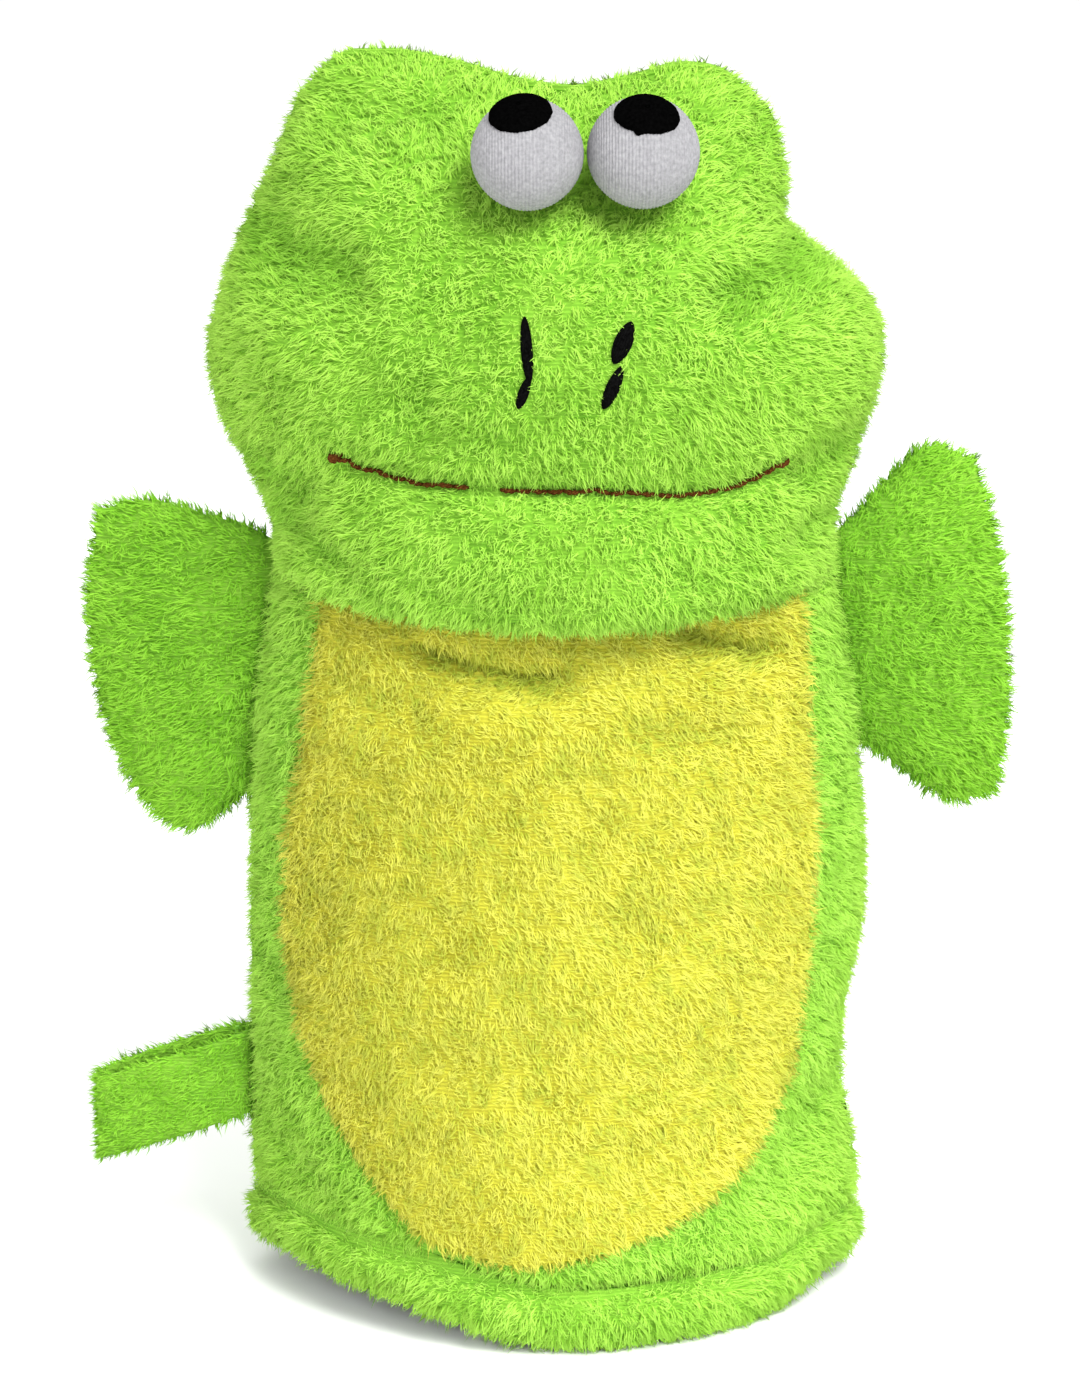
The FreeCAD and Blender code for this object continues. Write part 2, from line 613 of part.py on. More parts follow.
# ---------------------------------------------------------------- the whole puppet
def build():
    front_body, back_body = torso_panels()
    face, nape = head_panels()
    front_surface = spline_face(torso_grid(TORSO_FRONT))
    face_surface = spline_face(head_grid(FACE))
    nodes = {
        "front_body_panel": front_body,
        "back_body_panel": back_body,
        "belly_panel": belly_panel(),
        "belly_stitches": belly_stitches(front_surface),
        "hem_band": hem_band(),
        "hem_stitches": hem_stitches(),
        "neck_seam_stitches": neck_stitches(),
        "side_seam_allowance_left": seam_allowance(LEFT_SEAM, 14.0, 132.0, 1),
        "side_seam_allowance_right": seam_allowance(RIGHT_SEAM, 14.0, 132.0, -1),
        "face_panel": face,
        "head_back_panel": nape,
        "chin_underfold": chin_underfold(),
        "crown_seam_allowance": crown_allowance(),
        "mouth_stitches": stitches_on(face_surface, mouth_pairs(), MOUTH_RADIUS),
        "nostril_stitches_left": stitches_on(face_surface, NOSTRIL_LEFT, FLOSS_RADIUS),
        "nostril_stitches_right": stitches_on(face_surface, NOSTRIL_RIGHT, FLOSS_RADIUS),
        "hanging_loop": hanging_loop(),
        "loop_seam_thread": loop_thread(),
    }
    eyes = (("left", EYE_LEFT_X, LEFT_PUPIL), ("right", EYE_RIGHT_X, RIGHT_PUPIL))
    for side, x, look in eyes:
        centre = eye_centre(face_surface, x)
        root = Vec(x, -6.0, EYE_Z - 16.0)
        core, cover, spot, tie = eye_pieces(centre, root, look)
        nodes["eye_core_" + side] = core
        nodes["eye_cover_" + side] = cover
        nodes["pupil_" + side] = spot
        nodes["eye_thread_" + side] = tie
    for side, outline, turn in (("left", LEFT_FLIPPER, -1), ("right", RIGHT_FLIPPER, 1)):
        front, back, wadding = flipper(outline)
        nodes["flipper_front_" + side] = front
        nodes["flipper_back_" + side] = back
        nodes["flipper_wadding_" + side] = wadding
        nodes["flipper_seam_thread_" + side] = root_thread(outline, turn, 138.0)
    return nodes


os.makedirs("parts", exist_ok=True)
for node_name, shape in build().items():
    shape.exportStep("parts/" + node_name + ".step")
    print(node_name, "solids", len(shape.Solids), "valid", shape.isValid(),
          "volume", round(shape.Volume / 1000, 3), "cm3")
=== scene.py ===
"""The looks of the frog hand puppet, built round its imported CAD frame.

Shapes are worked out in millimetres in the row frame (X right, -Y front, Z up) and become metres when
a mesh is made. A skin is the cloth's ground; its pile is real fibres, rooted on the skin.
"""
import math

import bpy
import numpy as np
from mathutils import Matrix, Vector
from mathutils.bvhtree import BVHTree


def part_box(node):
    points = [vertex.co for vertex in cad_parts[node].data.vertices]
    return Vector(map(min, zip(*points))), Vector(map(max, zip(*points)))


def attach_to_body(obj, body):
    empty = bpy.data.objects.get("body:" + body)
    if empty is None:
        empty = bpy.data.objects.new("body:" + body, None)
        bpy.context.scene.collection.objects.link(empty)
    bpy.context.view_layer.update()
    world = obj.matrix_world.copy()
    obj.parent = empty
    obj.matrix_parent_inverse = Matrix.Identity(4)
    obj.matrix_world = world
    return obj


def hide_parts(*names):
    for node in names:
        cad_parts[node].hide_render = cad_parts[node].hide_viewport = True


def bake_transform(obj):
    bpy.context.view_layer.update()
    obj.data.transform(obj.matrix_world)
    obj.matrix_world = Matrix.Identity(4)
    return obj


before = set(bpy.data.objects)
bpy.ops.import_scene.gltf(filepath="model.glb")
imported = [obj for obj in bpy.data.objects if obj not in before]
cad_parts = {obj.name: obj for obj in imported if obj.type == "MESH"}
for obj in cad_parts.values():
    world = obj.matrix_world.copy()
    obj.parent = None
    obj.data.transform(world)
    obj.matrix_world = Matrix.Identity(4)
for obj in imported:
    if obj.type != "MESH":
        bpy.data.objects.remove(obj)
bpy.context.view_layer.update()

MM = 0.001
SEED = 11
rng = np.random.default_rng(SEED)

# ---------------------------------------------------------------- sizes, in millimetres
PILE = 1.7              # the skin lies this far inside the CAD outline, which is the pile's outline
GROUND = 1.1            # thickness of the cloth's ground
HEM_HEIGHT = 12.0
NECK = 143.4            # height of the neck crease
CREASE_Y = -26.0
HEAD_BASE = 143.6
FIBRE_WIDTH = 0.27
TUFT = 2.2              # spacing of the tufts that the fibres gather in
TRIANGLES_PER_PIECE = 198000
EYE_RADIUS = 10.2
HEM_LENS = 1.5          # how pointed the mitt's cross-section is at the side seams, at the hem
NECK_LENS = 0.9         # and at the neck
FLIPPER_HALF = 4.4      # half of a flipper's thickness in the middle
FLIPPER_INSET = 1.2     # how far its skin lies inside its outline, which is the pile's
PINNED_X = 59.0         # a flipper's skin is held by the mitt up to here
LOOP_SLOPE = 0.33       # fall of the loop for each millimetre that it reaches out
MOUTH_STITCHES = 30
SATIN_THREADS = 7
SUNK_STITCHES = (9, 10) # these two lie hidden in the pile
KNOT = (-39.6, 170.9)   # at the mouth's left end
FLOOR = -0.8            # just below the pile's lowest tips

# Points from the mitt at the first to the head at the second, passed along with the pile's bodies but not
# used for bending.
NOD_START = (0.0, -0.030, 0.1240)
NOD_END = (0.0, -0.0430, 0.1540)

# Seam lines: (height, x), left and right, sewn a little unevenly.
LEFT_SEAM = [(-4, -59.7), (0, -59.6), (12, -59.0), (30, -59.2), (54, -58.8), (90, -58.4), (120, -57.3),
             (134, -54.8), (144, -53.2), (151, -53.4), (158, -55.8), (166, -59.8), (175, -63.4),
             (184, -64.5), (192, -62.9), (200, -60.4), (214, -54.6), (226, -49.8), (235, -46.4)]
RIGHT_SEAM = [(-4, 59.5), (0, 59.6), (6, 60.2), (16, 60.4), (24, 59.2), (33, 57.5), (54, 57.0), (72, 60.2),
              (88, 60.2), (100, 59.0), (120, 57.6), (134, 55.2), (144, 53.6), (152, 53.2), (166, 57.6),
              (176, 60.4), (184, 61.6), (190, 60.8), (195.5, 57.2), (200, 51.6), (204, 46.6),
              (208, 43.6), (216, 43.6), (225, 42.2), (231.6, 39.4)]
CROWN = [(-46.4, 235.0), (-42.0, 239.6), (-32.6, 241.4), (-18.0, 239.2), (-6.0, 235.8),
         (4.0, 234.6), (14.0, 236.4), (26.0, 239.0), (33.6, 237.0), (39.4, 231.6)]
TORSO_FRONT = [(-4, -45.0), (14, -44.8), (34, -43.6), (60, -41.6), (84, -39.2), (104, -37.0),
               (120, -34.2), (132, -30.4), (138, -28.2), (NECK, CREASE_Y)]
# Centre lines as (height at the side seam, y, z).
FACE = [(HEAD_BASE, -26.0, NECK), (143.8, -30.0, 141.4), (144.1, -34.6, 139.8), (145.2, -39.0, 140.2),
        (147.2, -42.2, 143.6), (150.2, -43.2, 149.4), (155.6, -41.4, 157.8), (162.0, -38.6, 165.6),
        (170.0, -39.8, 174.6), (180.0, -40.2, 186.0), (191.0, -37.6, 198.0), (203.0, -31.6, 209.4),
        (214.0, -25.4, 217.4), (223.5, -18.4, 224.0), (230.0, -10.6, 230.0), (235.0, 0.0, 235.0)]
BACK = [(-4, 42.0, -4), (14, 41.8, 14), (34, 41.0, 34), (60, 39.4, 60), (84, 37.2, 84), (104, 35.0, 104),
        (120, 33.2, 120), (134, 31.4, 134), (NECK, 30.8, NECK), (152, 31.8, 152.4), (160, 33.2, 161),
        (171, 34.8, 173), (182, 35.0, 185), (193, 33.6, 197), (204, 30.4, 208), (214, 25.6, 217.6),
        (223.5, 18.8, 225.6), (230, 10.8, 231.2), (235, 0.0, 235)]
TORSO_BACK = [(height, y) for height, y, z in BACK]
BELLY_LEFT = [(16.4, -20.0), (17.2, -23.0), (20, -27.0), (25, -31.8), (33, -37.6), (49, -45.2), (68, -50.4),
              (88, -50.0), (116, -46.4), (142, -42.6)]
BELLY_RIGHT = [(16.4, -8.0), (17.2, -4.0), (20, 9.0), (25, 24.0), (32, 34.4), (44, 42.6), (64, 47.4),
               (88, 48.4), (116, 47.8), (142, 45.4)]
BELLY_LOW = BELLY_LEFT[0][0]
BELLY_HIGH = BELLY_LEFT[-1][0]
# A flipper's root reaches into the mitt, so that the two skins meet at every angle.
LEFT_FLIPPER = {
    "root": [(-52.4, 97.4), (-51.4, 112.0), (-50.0, 131.0), (-49.0, 146.0)],
    "top": [(-49.0, 146.0), (-56.0, 150.0), (-65.0, 152.6), (-77.0, 155.6), (-86.4, 153.6)],
    "outer": [(-74.6, 90.0), (-81.2, 99.0), (-86.2, 114.0), (-88.8, 131.0), (-86.4, 153.6)],
    "bottom": [(-52.4, 97.4), (-59.6, 95.4), (-63.4, 91.4), (-68.2, 88.6), (-74.6, 90.0)],
}
RIGHT_FLIPPER = {
    "root": [(52.4, 108.4), (51.6, 120.0), (50.4, 136.0), (49.2, 146.4)],
    "top": [(49.2, 146.4), (56.0, 152.4), (62.4, 159.4), (70.0, 166.0), (79.4, 163.2)],
    "outer": [(85.2, 95.8), (87.0, 108.0), (86.8, 126.0), (84.0, 147.0), (79.4, 163.2)],
    "bottom": [(52.4, 108.4), (60.6, 105.0), (68.4, 99.2), (77.0, 94.2), (85.2, 95.8)],
}
MOUTH_LINE = [(-39.8, 170.9), (-35.0, 168.8), (-24.0, 166.3), (-11.5, 165.7), (8.3, 165.2), (22.5, 163.9),
              (31.5, 164.2), (38.0, 166.4), (42.4, 169.2)]
# How far the hem's edge is lifted, from the left seam at -1 across the front to the right seam at 1.
HEM_LIFT = [(-1.0, 6.5), (-0.88, 8.2), (-0.73, 7.4), (-0.55, 6.6), (-0.37, 4.7), (-0.17, 1.9), (0.05, 0.0),
            (0.5, 0.0), (0.75, 0.1), (0.83, 1.7), (0.92, 2.8), (1.0, 2.2)]


# ---------------------------------------------------------------- curves, noise and fields
def smooth(points, t):
    """Values at t of a smooth curve through (t, value) points."""
    xs, ys = np.array(points, float).T
    t = np.asarray(t, float)
    slopes = np.gradient(ys, xs)
    i = np.clip(np.searchsorted(xs, t, side="right") - 1, 0, len(xs) - 2)
    width = xs[i + 1] - xs[i]
    s = np.clip((t - xs[i]) / width, 0, 1)
    return (ys[i] * (1 + 2 * s) * (1 - s) ** 2 + slopes[i] * width * s * (1 - s) ** 2
            + ys[i + 1] * s * s * (3 - 2 * s) + slopes[i + 1] * width * s * s * (s - 1))


def along(points, s):
    """Points at shares s, from 0 to 1, of a smooth line through points of any dimension."""
    p = np.array(points, float)
    d = np.concatenate([[0], np.cumsum(np.linalg.norm(np.diff(p, axis=0), axis=1))])
    s = np.asarray(s, float) * d[-1]
    return np.stack([smooth(np.stack([d, p[:, k]], 1), s) for k in range(p.shape[1])], -1)


def lattice(cell, seed):
    """A repeatable value from -1 to 1 for each whole-number cell."""
    n = (cell[..., 0] * 73856093) ^ (cell[..., 1] * 19349663) ^ (cell[..., 2] * 83492791) ^ (seed * 2654435)
    n = (n ^ (n >> 13)) * 1274126177
    n = n ^ (n >> 16)
    return (n & 0xFFFF) / 32767.5 - 1.0


def noise(points, size, seed):
    """Smooth noise from -1 to 1 at points, with lumps of about that size."""
    p = np.asarray(points, float) / size
    base = np.floor(p).astype(np.int64)
    f = p - base
    f = f * f * (3 - 2 * f)
    total = np.zeros(p.shape[:-1])
    for dx in (0, 1):
        for dy in (0, 1):
            for dz in (0, 1):
                weight = (np.where(dx, f[..., 0], 1 - f[..., 0]) * np.where(dy, f[..., 1], 1 - f[..., 1])
                          * np.where(dz, f[..., 2], 1 - f[..., 2]))
                total += weight * lattice(base + np.array([dx, dy, dz]), seed)
    return total


def nearest_tuft(points, size, seed):
    """The nearest of the scattered tuft centres to each point, and that tuft's own value from -1 to 1."""
    p = points / size
    base = np.floor(p).astype(np.int64)
    best = np.full(len(p), 1e9)
    centre, value = np.zeros_like(p), np.zeros(len(p))
    for step in np.ndindex(3, 3, 3):
        cell = base + np.array(step) - 1
        spot = cell + 0.5 + 0.45 * np.stack([lattice(cell, seed + k) for k in range(3)], -1)
        gap = ((spot - p) ** 2).sum(1)
        nearer = gap < best
        best = np.where(nearer, gap, best)
        centre = np.where(nearer[:, None], spot, centre)
        value = np.where(nearer, lattice(cell, seed + 9), value)
    return centre * size, value


def noise_vectors(points, size, seed):
    return np.stack([noise(points, size, seed + 17 * k) for k in range(3)], -1)


def unit(v):
    return v / np.maximum(np.linalg.norm(v, axis=-1, keepdims=True), 1e-9)


def distance_to_line(points, line):
    """Distance of (x, z) points from a bent line, and the share along it of the nearest place."""
    line = np.array(line, float)
    best = np.full(points.shape[:-1], 1e9)
    share = np.zeros(points.shape[:-1])
    for k in range(len(line) - 1):
        a, d = line[k], line[k + 1] - line[k]
        t = np.clip(((points - a) @ d) / (d @ d), 0, 1)
        gap = np.linalg.norm(points - a - t[..., None] * d, axis=-1)
        nearer = gap < best
        best = np.where(nearer, gap, best)
        share = np.where(nearer, (k + t) / (len(line) - 1), share)
    return best, share


def crease(xz, line, width, depth, fade=0.25):
    """A valley of that depth along a line of (x, z) points, fading out at its ends."""
    gap, share = distance_to_line(xz, line)
    ends = np.clip(np.minimum(share, 1 - share) / fade, 0, 1)
    return -depth * np.exp(-(gap / width) ** 2) * ends * ends * (3 - 2 * ends)


# ---------------------------------------------------------------- meshes
def mesh_object(name, points, faces, smooth_faces=True):
    """A mesh object from points in millimetres and a list of equal-sided face arrays."""
    mesh = bpy.data.meshes.new(name)
    points = np.asarray(points, np.float32) * MM
    corners = np.concatenate([np.asarray(f, np.int32).ravel() for f in faces])
    sizes = np.concatenate([np.full(len(f), np.asarray(f).shape[1], np.int32) for f in faces])
    mesh.vertices.add(len(points))
    mesh.vertices.foreach_set("co", points.ravel())
    mesh.loops.add(len(corners))
    mesh.loops.foreach_set("vertex_index", corners)
    mesh.polygons.add(len(sizes))
    mesh.polygons.foreach_set("loop_start", np.concatenate([[0], np.cumsum(sizes)[:-1]]).astype(np.int32))
    mesh.polygons.foreach_set("loop_total", sizes)
    mesh.update(calc_edges=True)
    mesh.validate()
    mesh.shade_smooth() if smooth_faces else mesh.shade_flat()
    made = bpy.data.objects.new(name, mesh)
    bpy.context.scene.collection.objects.link(made)
    return made


def grid_faces(rows, columns, offset=0, wrap=False):
    i, j = np.meshgrid(np.arange(rows - 1), np.arange(columns if wrap else columns - 1), indexing="ij")
    i, j = i.ravel(), j.ravel()
    k = (j + 1) % columns
    below, above = i * columns, (i + 1) * columns
    return np.stack([below + j, below + k, above + k, above + j], 1) + offset


def grid_normals(grid):
    """Unit normals of a grid of points: along the columns crossed with up the rows."""
    across = np.gradient(grid, axis=1)
    up = np.gradient(grid, axis=0)
    return unit(np.cross(across, up))


def sheet(name, grid, normals, thickness):
    """A closed cloth sheet: the grid outside, and the same moved against the normals inside."""
    rows, columns = grid.shape[:2]
    outer = grid.reshape(-1, 3)
    inner = (grid - normals * thickness).reshape(-1, 3)
    count = len(outer)
    ids = np.arange(count).reshape(rows, columns)
    rim = np.concatenate([ids[0], ids[1:, -1], ids[-1, -2::-1], ids[-2:0:-1, 0]])
    following = np.roll(rim, -1)
    sides = np.stack([following, rim, rim + count, following + count], 1)
    points = np.concatenate([outer, inner])
    faces = np.concatenate([grid_faces(rows, columns), grid_faces(rows, columns, count)[:, ::-1], sides])
    return mesh_object(name, points, [outside_out(points, faces)])


def outside_out(points, faces):
    """The faces of a closed mesh, turned round together if they face inwards."""
    a, b, c, d = (points[faces[:, k]] for k in range(4))
    volume = (a * (np.cross(b, c) + np.cross(c, d))).sum()
    return faces if volume > 0 else faces[:, ::-1]


def fan(centre, ring):
    """Triangles from one point to each side of a ring of points."""
    return np.stack([np.full(len(ring), centre), ring, np.roll(ring, -1)], 1)


def end_fans(rows, columns):
    """Closes both ends of a wrapped grid, whose two end points come right after its own points."""
    ring = np.arange(columns)
    count = rows * columns
    return np.concatenate([fan(count, ring)[:, [0, 2, 1]], fan(count + 1, count - columns + ring)])


def tube(path, radius, sides):
    """Points and faces of a round tube along a path, with closed and rounded ends."""
    path = np.asarray(path, float)
    count = len(path)
    tangent = unit(np.gradient(path, axis=0))
    side = np.zeros_like(path)
    start = np.array([0.31, 0.83, 0.46])
    side[0] = unit(start - tangent[0] * (start @ tangent[0]))
    for k in range(1, count):
        side[k] = unit(side[k - 1] - tangent[k] * (side[k - 1] @ tangent[k]))
    other = np.cross(tangent, side)
    s = np.linspace(0, 1, count)
    end = np.clip(np.minimum(s, 1 - s) * count / 3, 0, 1)
    r = radius * (0.5 + 0.5 * np.sqrt(end))
    angle = 2 * math.pi * np.arange(sides) / sides
    ring = (side[:, None] * np.cos(angle)[None, :, None] + other[:, None] * np.sin(angle)[None, :, None])
    points = (path[:, None] + ring * r[:, None, None]).reshape(-1, 3)
    points = np.concatenate([points, path[[0, -1]]])
    return points, grid_faces(count, sides, wrap=True), end_fans(count, sides)


def joined(name, parts):
    """One mesh object from several (points, quads, triangles) parts."""
    points, quads, triangles, offset = [], [], [], 0
    for p, q, t in parts:
        points.append(p)
        quads.append(q + offset)
        triangles.append(t + offset)
        offset += len(p)
    return mesh_object(name, np.concatenate(points), [np.concatenate(quads), np.concatenate(triangles)])


# ---------------------------------------------------------------- materials
def material(name, roughness=0.9, sheen=0.0):
    """A new material with its node tree and its Principled shader."""
    made = bpy.data.materials.new(name)
    made.use_nodes = True
    shader = made.node_tree.nodes["Principled BSDF"]
    shader.inputs["Roughness"].default_value = roughness
    shader.inputs["Sheen Weight"].default_value = sheen
    shader.inputs["Specular IOR Level"].default_value = 0.25
    return made, made.node_tree, shader


def node(tree, kind, **inputs):
    made = tree.nodes.new(kind)
    for key, value in inputs.items():
        made.inputs[key.replace("_", " ")].default_value = value
    return made


def noise_node(tree, scale, detail=3.0):
    """Noise over the object's own coordinates, in lumps per metre."""
    place = node(tree, "ShaderNodeTexCoord")
    made = node(tree, "ShaderNodeTexNoise", Scale=scale, Detail=detail)
    tree.links.new(place.outputs["Object"], made.inputs["Vector"])
    return made


def ramp(tree, source, stops):
    made = tree.nodes.new("ShaderNodeValToRGB")
    elements = made.color_ramp.elements
    while len(elements) < len(stops):
        elements.new(0.5)
    for element, (place, colour) in zip(elements, stops):
        element.position = place
        element.color = (*colour, 1)
    tree.links.new(source, made.inputs["Fac"])
    return made.outputs["Color"]


def mixed(tree, share, first, second, mode="MIX"):
    made = tree.nodes.new("ShaderNodeMix")
    made.data_type = "RGBA"
    made.blend_type = mode
    for socket, value in ((made.inputs["Factor"], share), (made.inputs[6], first), (made.inputs[7], second)):
        if hasattr(value, "is_linked"):
            tree.links.new(value, socket)
        elif isinstance(value, tuple):
            socket.default_value = (*value, 1)
        else:
            socket.default_value = value
    return made.outputs[2]


def bump(tree, shader, height, strength, distance):
    made = node(tree, "ShaderNodeBump", Strength=strength, Distance=distance)
    tree.links.new(height, made.inputs["Height"])
    tree.links.new(made.outputs["Normal"], shader.inputs["Normal"])


def pile_material(name, deep, middle, tip):
    """Fibres: darker at the root and light at the tip, as painted shade deep in the pile; each fibre a little
    lighter or darker at random, with painted shade in the cloth's hollows; in faint patches.
    """
    made, tree, shader = material(name, 1.0)
    shader.inputs["Specular IOR Level"].default_value = 0.06
    height = tree.nodes.new("ShaderNodeAttribute")
    height.attribute_name = "height"
    tone_and_shade = tree.nodes.new("ShaderNodeAttribute")
    tone_and_shade.attribute_name = "tone_and_shade"
    # Painted shade: the colour runs from dark at the root, deep in the pile where the fibres shade each
    # other, to light at the tip.
    body = ramp(tree, height.outputs["Fac"], [(0.0, deep), (0.45, middle), (1.0, tip)])
    patches = noise_node(tree, 190, 3.0)
    darker = ramp(tree, patches.outputs["Fac"], [(0.34, (0.77, 0.84, 0.70)), (0.58, (1.0, 1.0, 1.0))])
    patched = mixed(tree, 1.0, body, darker, "MULTIPLY")
    # Per-fibre darkening from the fibre's attribute: random, and painted shade in the cloth's hollows.
    each = ramp(tree, tone_and_shade.outputs["Fac"], [(0.0, (0.70, 0.80, 0.64)), (0.55, (1, 1, 1)), (1.0, (1, 1, 1))])
    colour = mixed(tree, 1.0, patched, each, "MULTIPLY")
    tree.links.new(colour, shader.inputs["Base Color"])
    return made


def ground_material(name, dark, light):
    """The knitted ground that the pile grows from, seen between the fibres and inside the mitt. Its colours
    are a darker green or yellow than the pile's, as painted shade deep under the pile.
    """
    made, tree, shader = material(name, 1.0)
    place = node(tree, "ShaderNodeTexCoord")
    rows = node(tree, "ShaderNodeTexWave", Scale=420.0, Distortion=1.6, Detail=1.0)
    rows.bands_direction = "Z"
    tree.links.new(place.outputs["Object"], rows.inputs["Vector"])
    fine = noise_node(tree, 900, 3.0)
    blend = mixed(tree, 0.5, rows.outputs["Color"], fine.outputs["Color"])
    patches = noise_node(tree, 90, 3.0)
    base = ramp(tree, patches.outputs["Fac"], [(0.3, dark), (0.7, light)])
    shaded = ramp(tree, blend, [(0.2, (0.72, 0.74, 0.70)), (0.8, (1, 1, 1))])
    tree.links.new(mixed(tree, 1.0, base, shaded, "MULTIPLY"), shader.inputs["Base Color"])
    bump(tree, shader, blend, 0.6, 0.0004)
    return made


def thread_material(name, dark, light, roughness=0.8, sheen=0.1):
    """Twisted thread: plies are in the mesh, and the fibres of a ply are in the bump."""
    made, tree, shader = material(name, roughness, sheen)
    shader.inputs["Specular IOR Level"].default_value = 0.03
    fine = noise_node(tree, 2600, 2.0)
    tree.links.new(ramp(tree, fine.outputs["Fac"], [(0.35, dark), (0.7, light)]), shader.inputs["Base Color"])
    bump(tree, shader, fine.outputs["Fac"], 0.5, 0.0001)
    return made


def knit_material(name, dark, light):
    """Fine white rib knit over the eye balls: the ribs are in the mesh, the yarn's fuzz in the bump."""
    made, tree, shader = material(name, 1.0)
    shader.inputs["Specular IOR Level"].default_value = 0.1
    fine = noise_node(tree, 1500, 4.0)
    tree.links.new(ramp(tree, fine.outputs["Fac"], [(0.3, dark), (0.7, light)]), shader.inputs["Base Color"])
    bump(tree, shader, fine.outputs["Fac"], 0.5, 0.0002)
    return made


def felt_material(name, dark, light):
    made, tree, shader = material(name, 1.0)
    shader.inputs["Specular IOR Level"].default_value = 0.0
    fine = noise_node(tree, 1800, 4.0)
    tree.links.new(ramp(tree, fine.outputs["Fac"], [(0.3, dark), (0.8, light)]), shader.inputs["Base Color"])
    bump(tree, shader, fine.outputs["Fac"], 0.7, 0.0002)
    return made


# Each pile's deep colour is painted shade at the fibres' roots.
GREEN_PILE = pile_material("green_pile", (0.24, 0.51, 0.038), (0.36, 0.69, 0.073), (0.47, 0.80, 0.118))
# A darker copy of the green pile: painted shade for the flippers and the loop at the sides.
ARM_PILE_SHADED = pile_material("arm_pile_shaded", (0.13, 0.36, 0.016), (0.245, 0.565, 0.038), (0.34, 0.69, 0.066))
YELLOW_PILE = pile_material("yellow_pile", (0.53, 0.520, 0.040), (0.65, 0.64, 0.075), (0.74, 0.745, 0.13))
# The grounds are darker than their piles: painted shade under the fibres.
GREEN_GROUND = ground_material("green_ground", (0.17, 0.40, 0.028), (0.25, 0.51, 0.044))
YELLOW_GROUND = ground_material("yellow_ground", (0.46, 0.43, 0.033), (0.57, 0.55, 0.052))
WHITE_KNIT = knit_material("white_knit", (0.225, 0.222, 0.232), (0.335, 0.332, 0.342))
BLACK_FELT = felt_material("black_felt", (0.0006, 0.0006, 0.0006), (0.002, 0.002, 0.002))
BLACK_FLOSS = thread_material("black_floss", (0.0006, 0.0006, 0.0006), (0.004, 0.004, 0.004), 1.0, 0.0)
BROWN_FLOSS = thread_material("brown_floss", (0.045, 0.013, 0.003), (0.115, 0.040, 0.009), 0.9, 0.0)
GREEN_THREAD = thread_material("green_thread", (0.12, 0.34, 0.02), (0.22, 0.50, 0.04))
WHITE_THREAD = thread_material("white_thread", (0.6, 0.6, 0.6), (0.85, 0.85, 0.85))
WADDING = felt_material("wadding", (0.6, 0.6, 0.58), (0.85, 0.85, 0.83))
FOAM = felt_material("foam_ball", (0.6, 0.6, 0.58), (0.85, 0.85, 0.83))


def paint(piece, made):
    piece.data.materials.clear()
    piece.data.materials.append(made)
    return piece


def stands_for(piece, slot_name, *nodes):
    """Hides the CAD nodes that a piece is shown instead of; slot_name is not used."""
    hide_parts(*nodes)
    return piece


# ---------------------------------------------------------------- the mitt's skin
def seam_xs(z):
    """Left and right edges of the skin at a height."""
    return smooth(LEFT_SEAM, z) + PILE, smooth(RIGHT_SEAM, z) - PILE


def hem_raise(angle, front):
    """The hem's edge is uneven: it hangs higher at the seams than in the middle."""
    share = -np.cos(angle)
    level = 6.5 * np.clip(-share, 0, 1) ** 3 + 2.2 * np.clip(share, 0, 1) ** 3
    return smooth(HEM_LIFT, share) if front else level


def hem_profile(z):
    """How far the cloth stands out near the hem: a full fold below, a pinched line of stitches above it."""
    groove = -3.0 * np.exp(-((z - HEM_HEIGHT) / 1.8) ** 2)
    fold = 1.4 * np.exp(-((z - 6.2) / 3.8) ** 2)
    turn = -1.8 * np.clip(1 - z / 2.8, 0, 1) ** 2
    return groove + fold + turn


def lens(z):
    """The power that shapes the mitt's cross-section at a height."""
    return HEM_LENS + (NECK_LENS - HEM_LENS) * np.clip(z / NECK, 0, 1)


def dome(xz, x, z, radius, height):
    """A round swelling, or a hollow where height is negative."""
    return height * np.exp(-((xz[..., 0] - x) ** 2 + (xz[..., 1] - z) ** 2) / radius ** 2)


def front_features(xz):
    """Soft creases below the chin and along the sides of the mitt's front."""
    return (crease(xz, [(-31, 134), (-20, 130.5), (-6, 127.5), (8, 128.5)], 2.8, 4.4)
            + crease(xz, [(18, 138.5), (27, 134), (36, 131), (44, 131)], 3.0, 4.8)
            + dome(xz, -14, 123, 9, 1.4)
            + dome(xz, 30, 126, 8, 1.4)
            + crease(xz, [(-46, 128), (-34, 124), (-20, 122)], 4.0, 1.3)
            + crease(xz, [(6, 120), (22, 116), (40, 118)], 4.5, 1.4)
            + crease(xz, [(-40, 104), (-20, 101), (0, 103)], 4.5, 0.7)
            + crease(xz, [(4, 84), (22, 80), (42, 83)], 4.5, 0.7)
            + crease(xz, [(-36, 60), (-14, 56), (6, 59)], 4.5, 0.7)
            + crease(xz, [(-58, 70), (-52, 66), (-46, 58)], 4.0, 1.6)
            + crease(xz, [(58, 42), (50, 38), (44, 30)], 4.0, 1.8)
            + crease(xz, [(-58, 34), (-50, 29), (-40, 24)], 4.0, 1.2)
            + dome(xz, -10, 24, 16, 1.2))


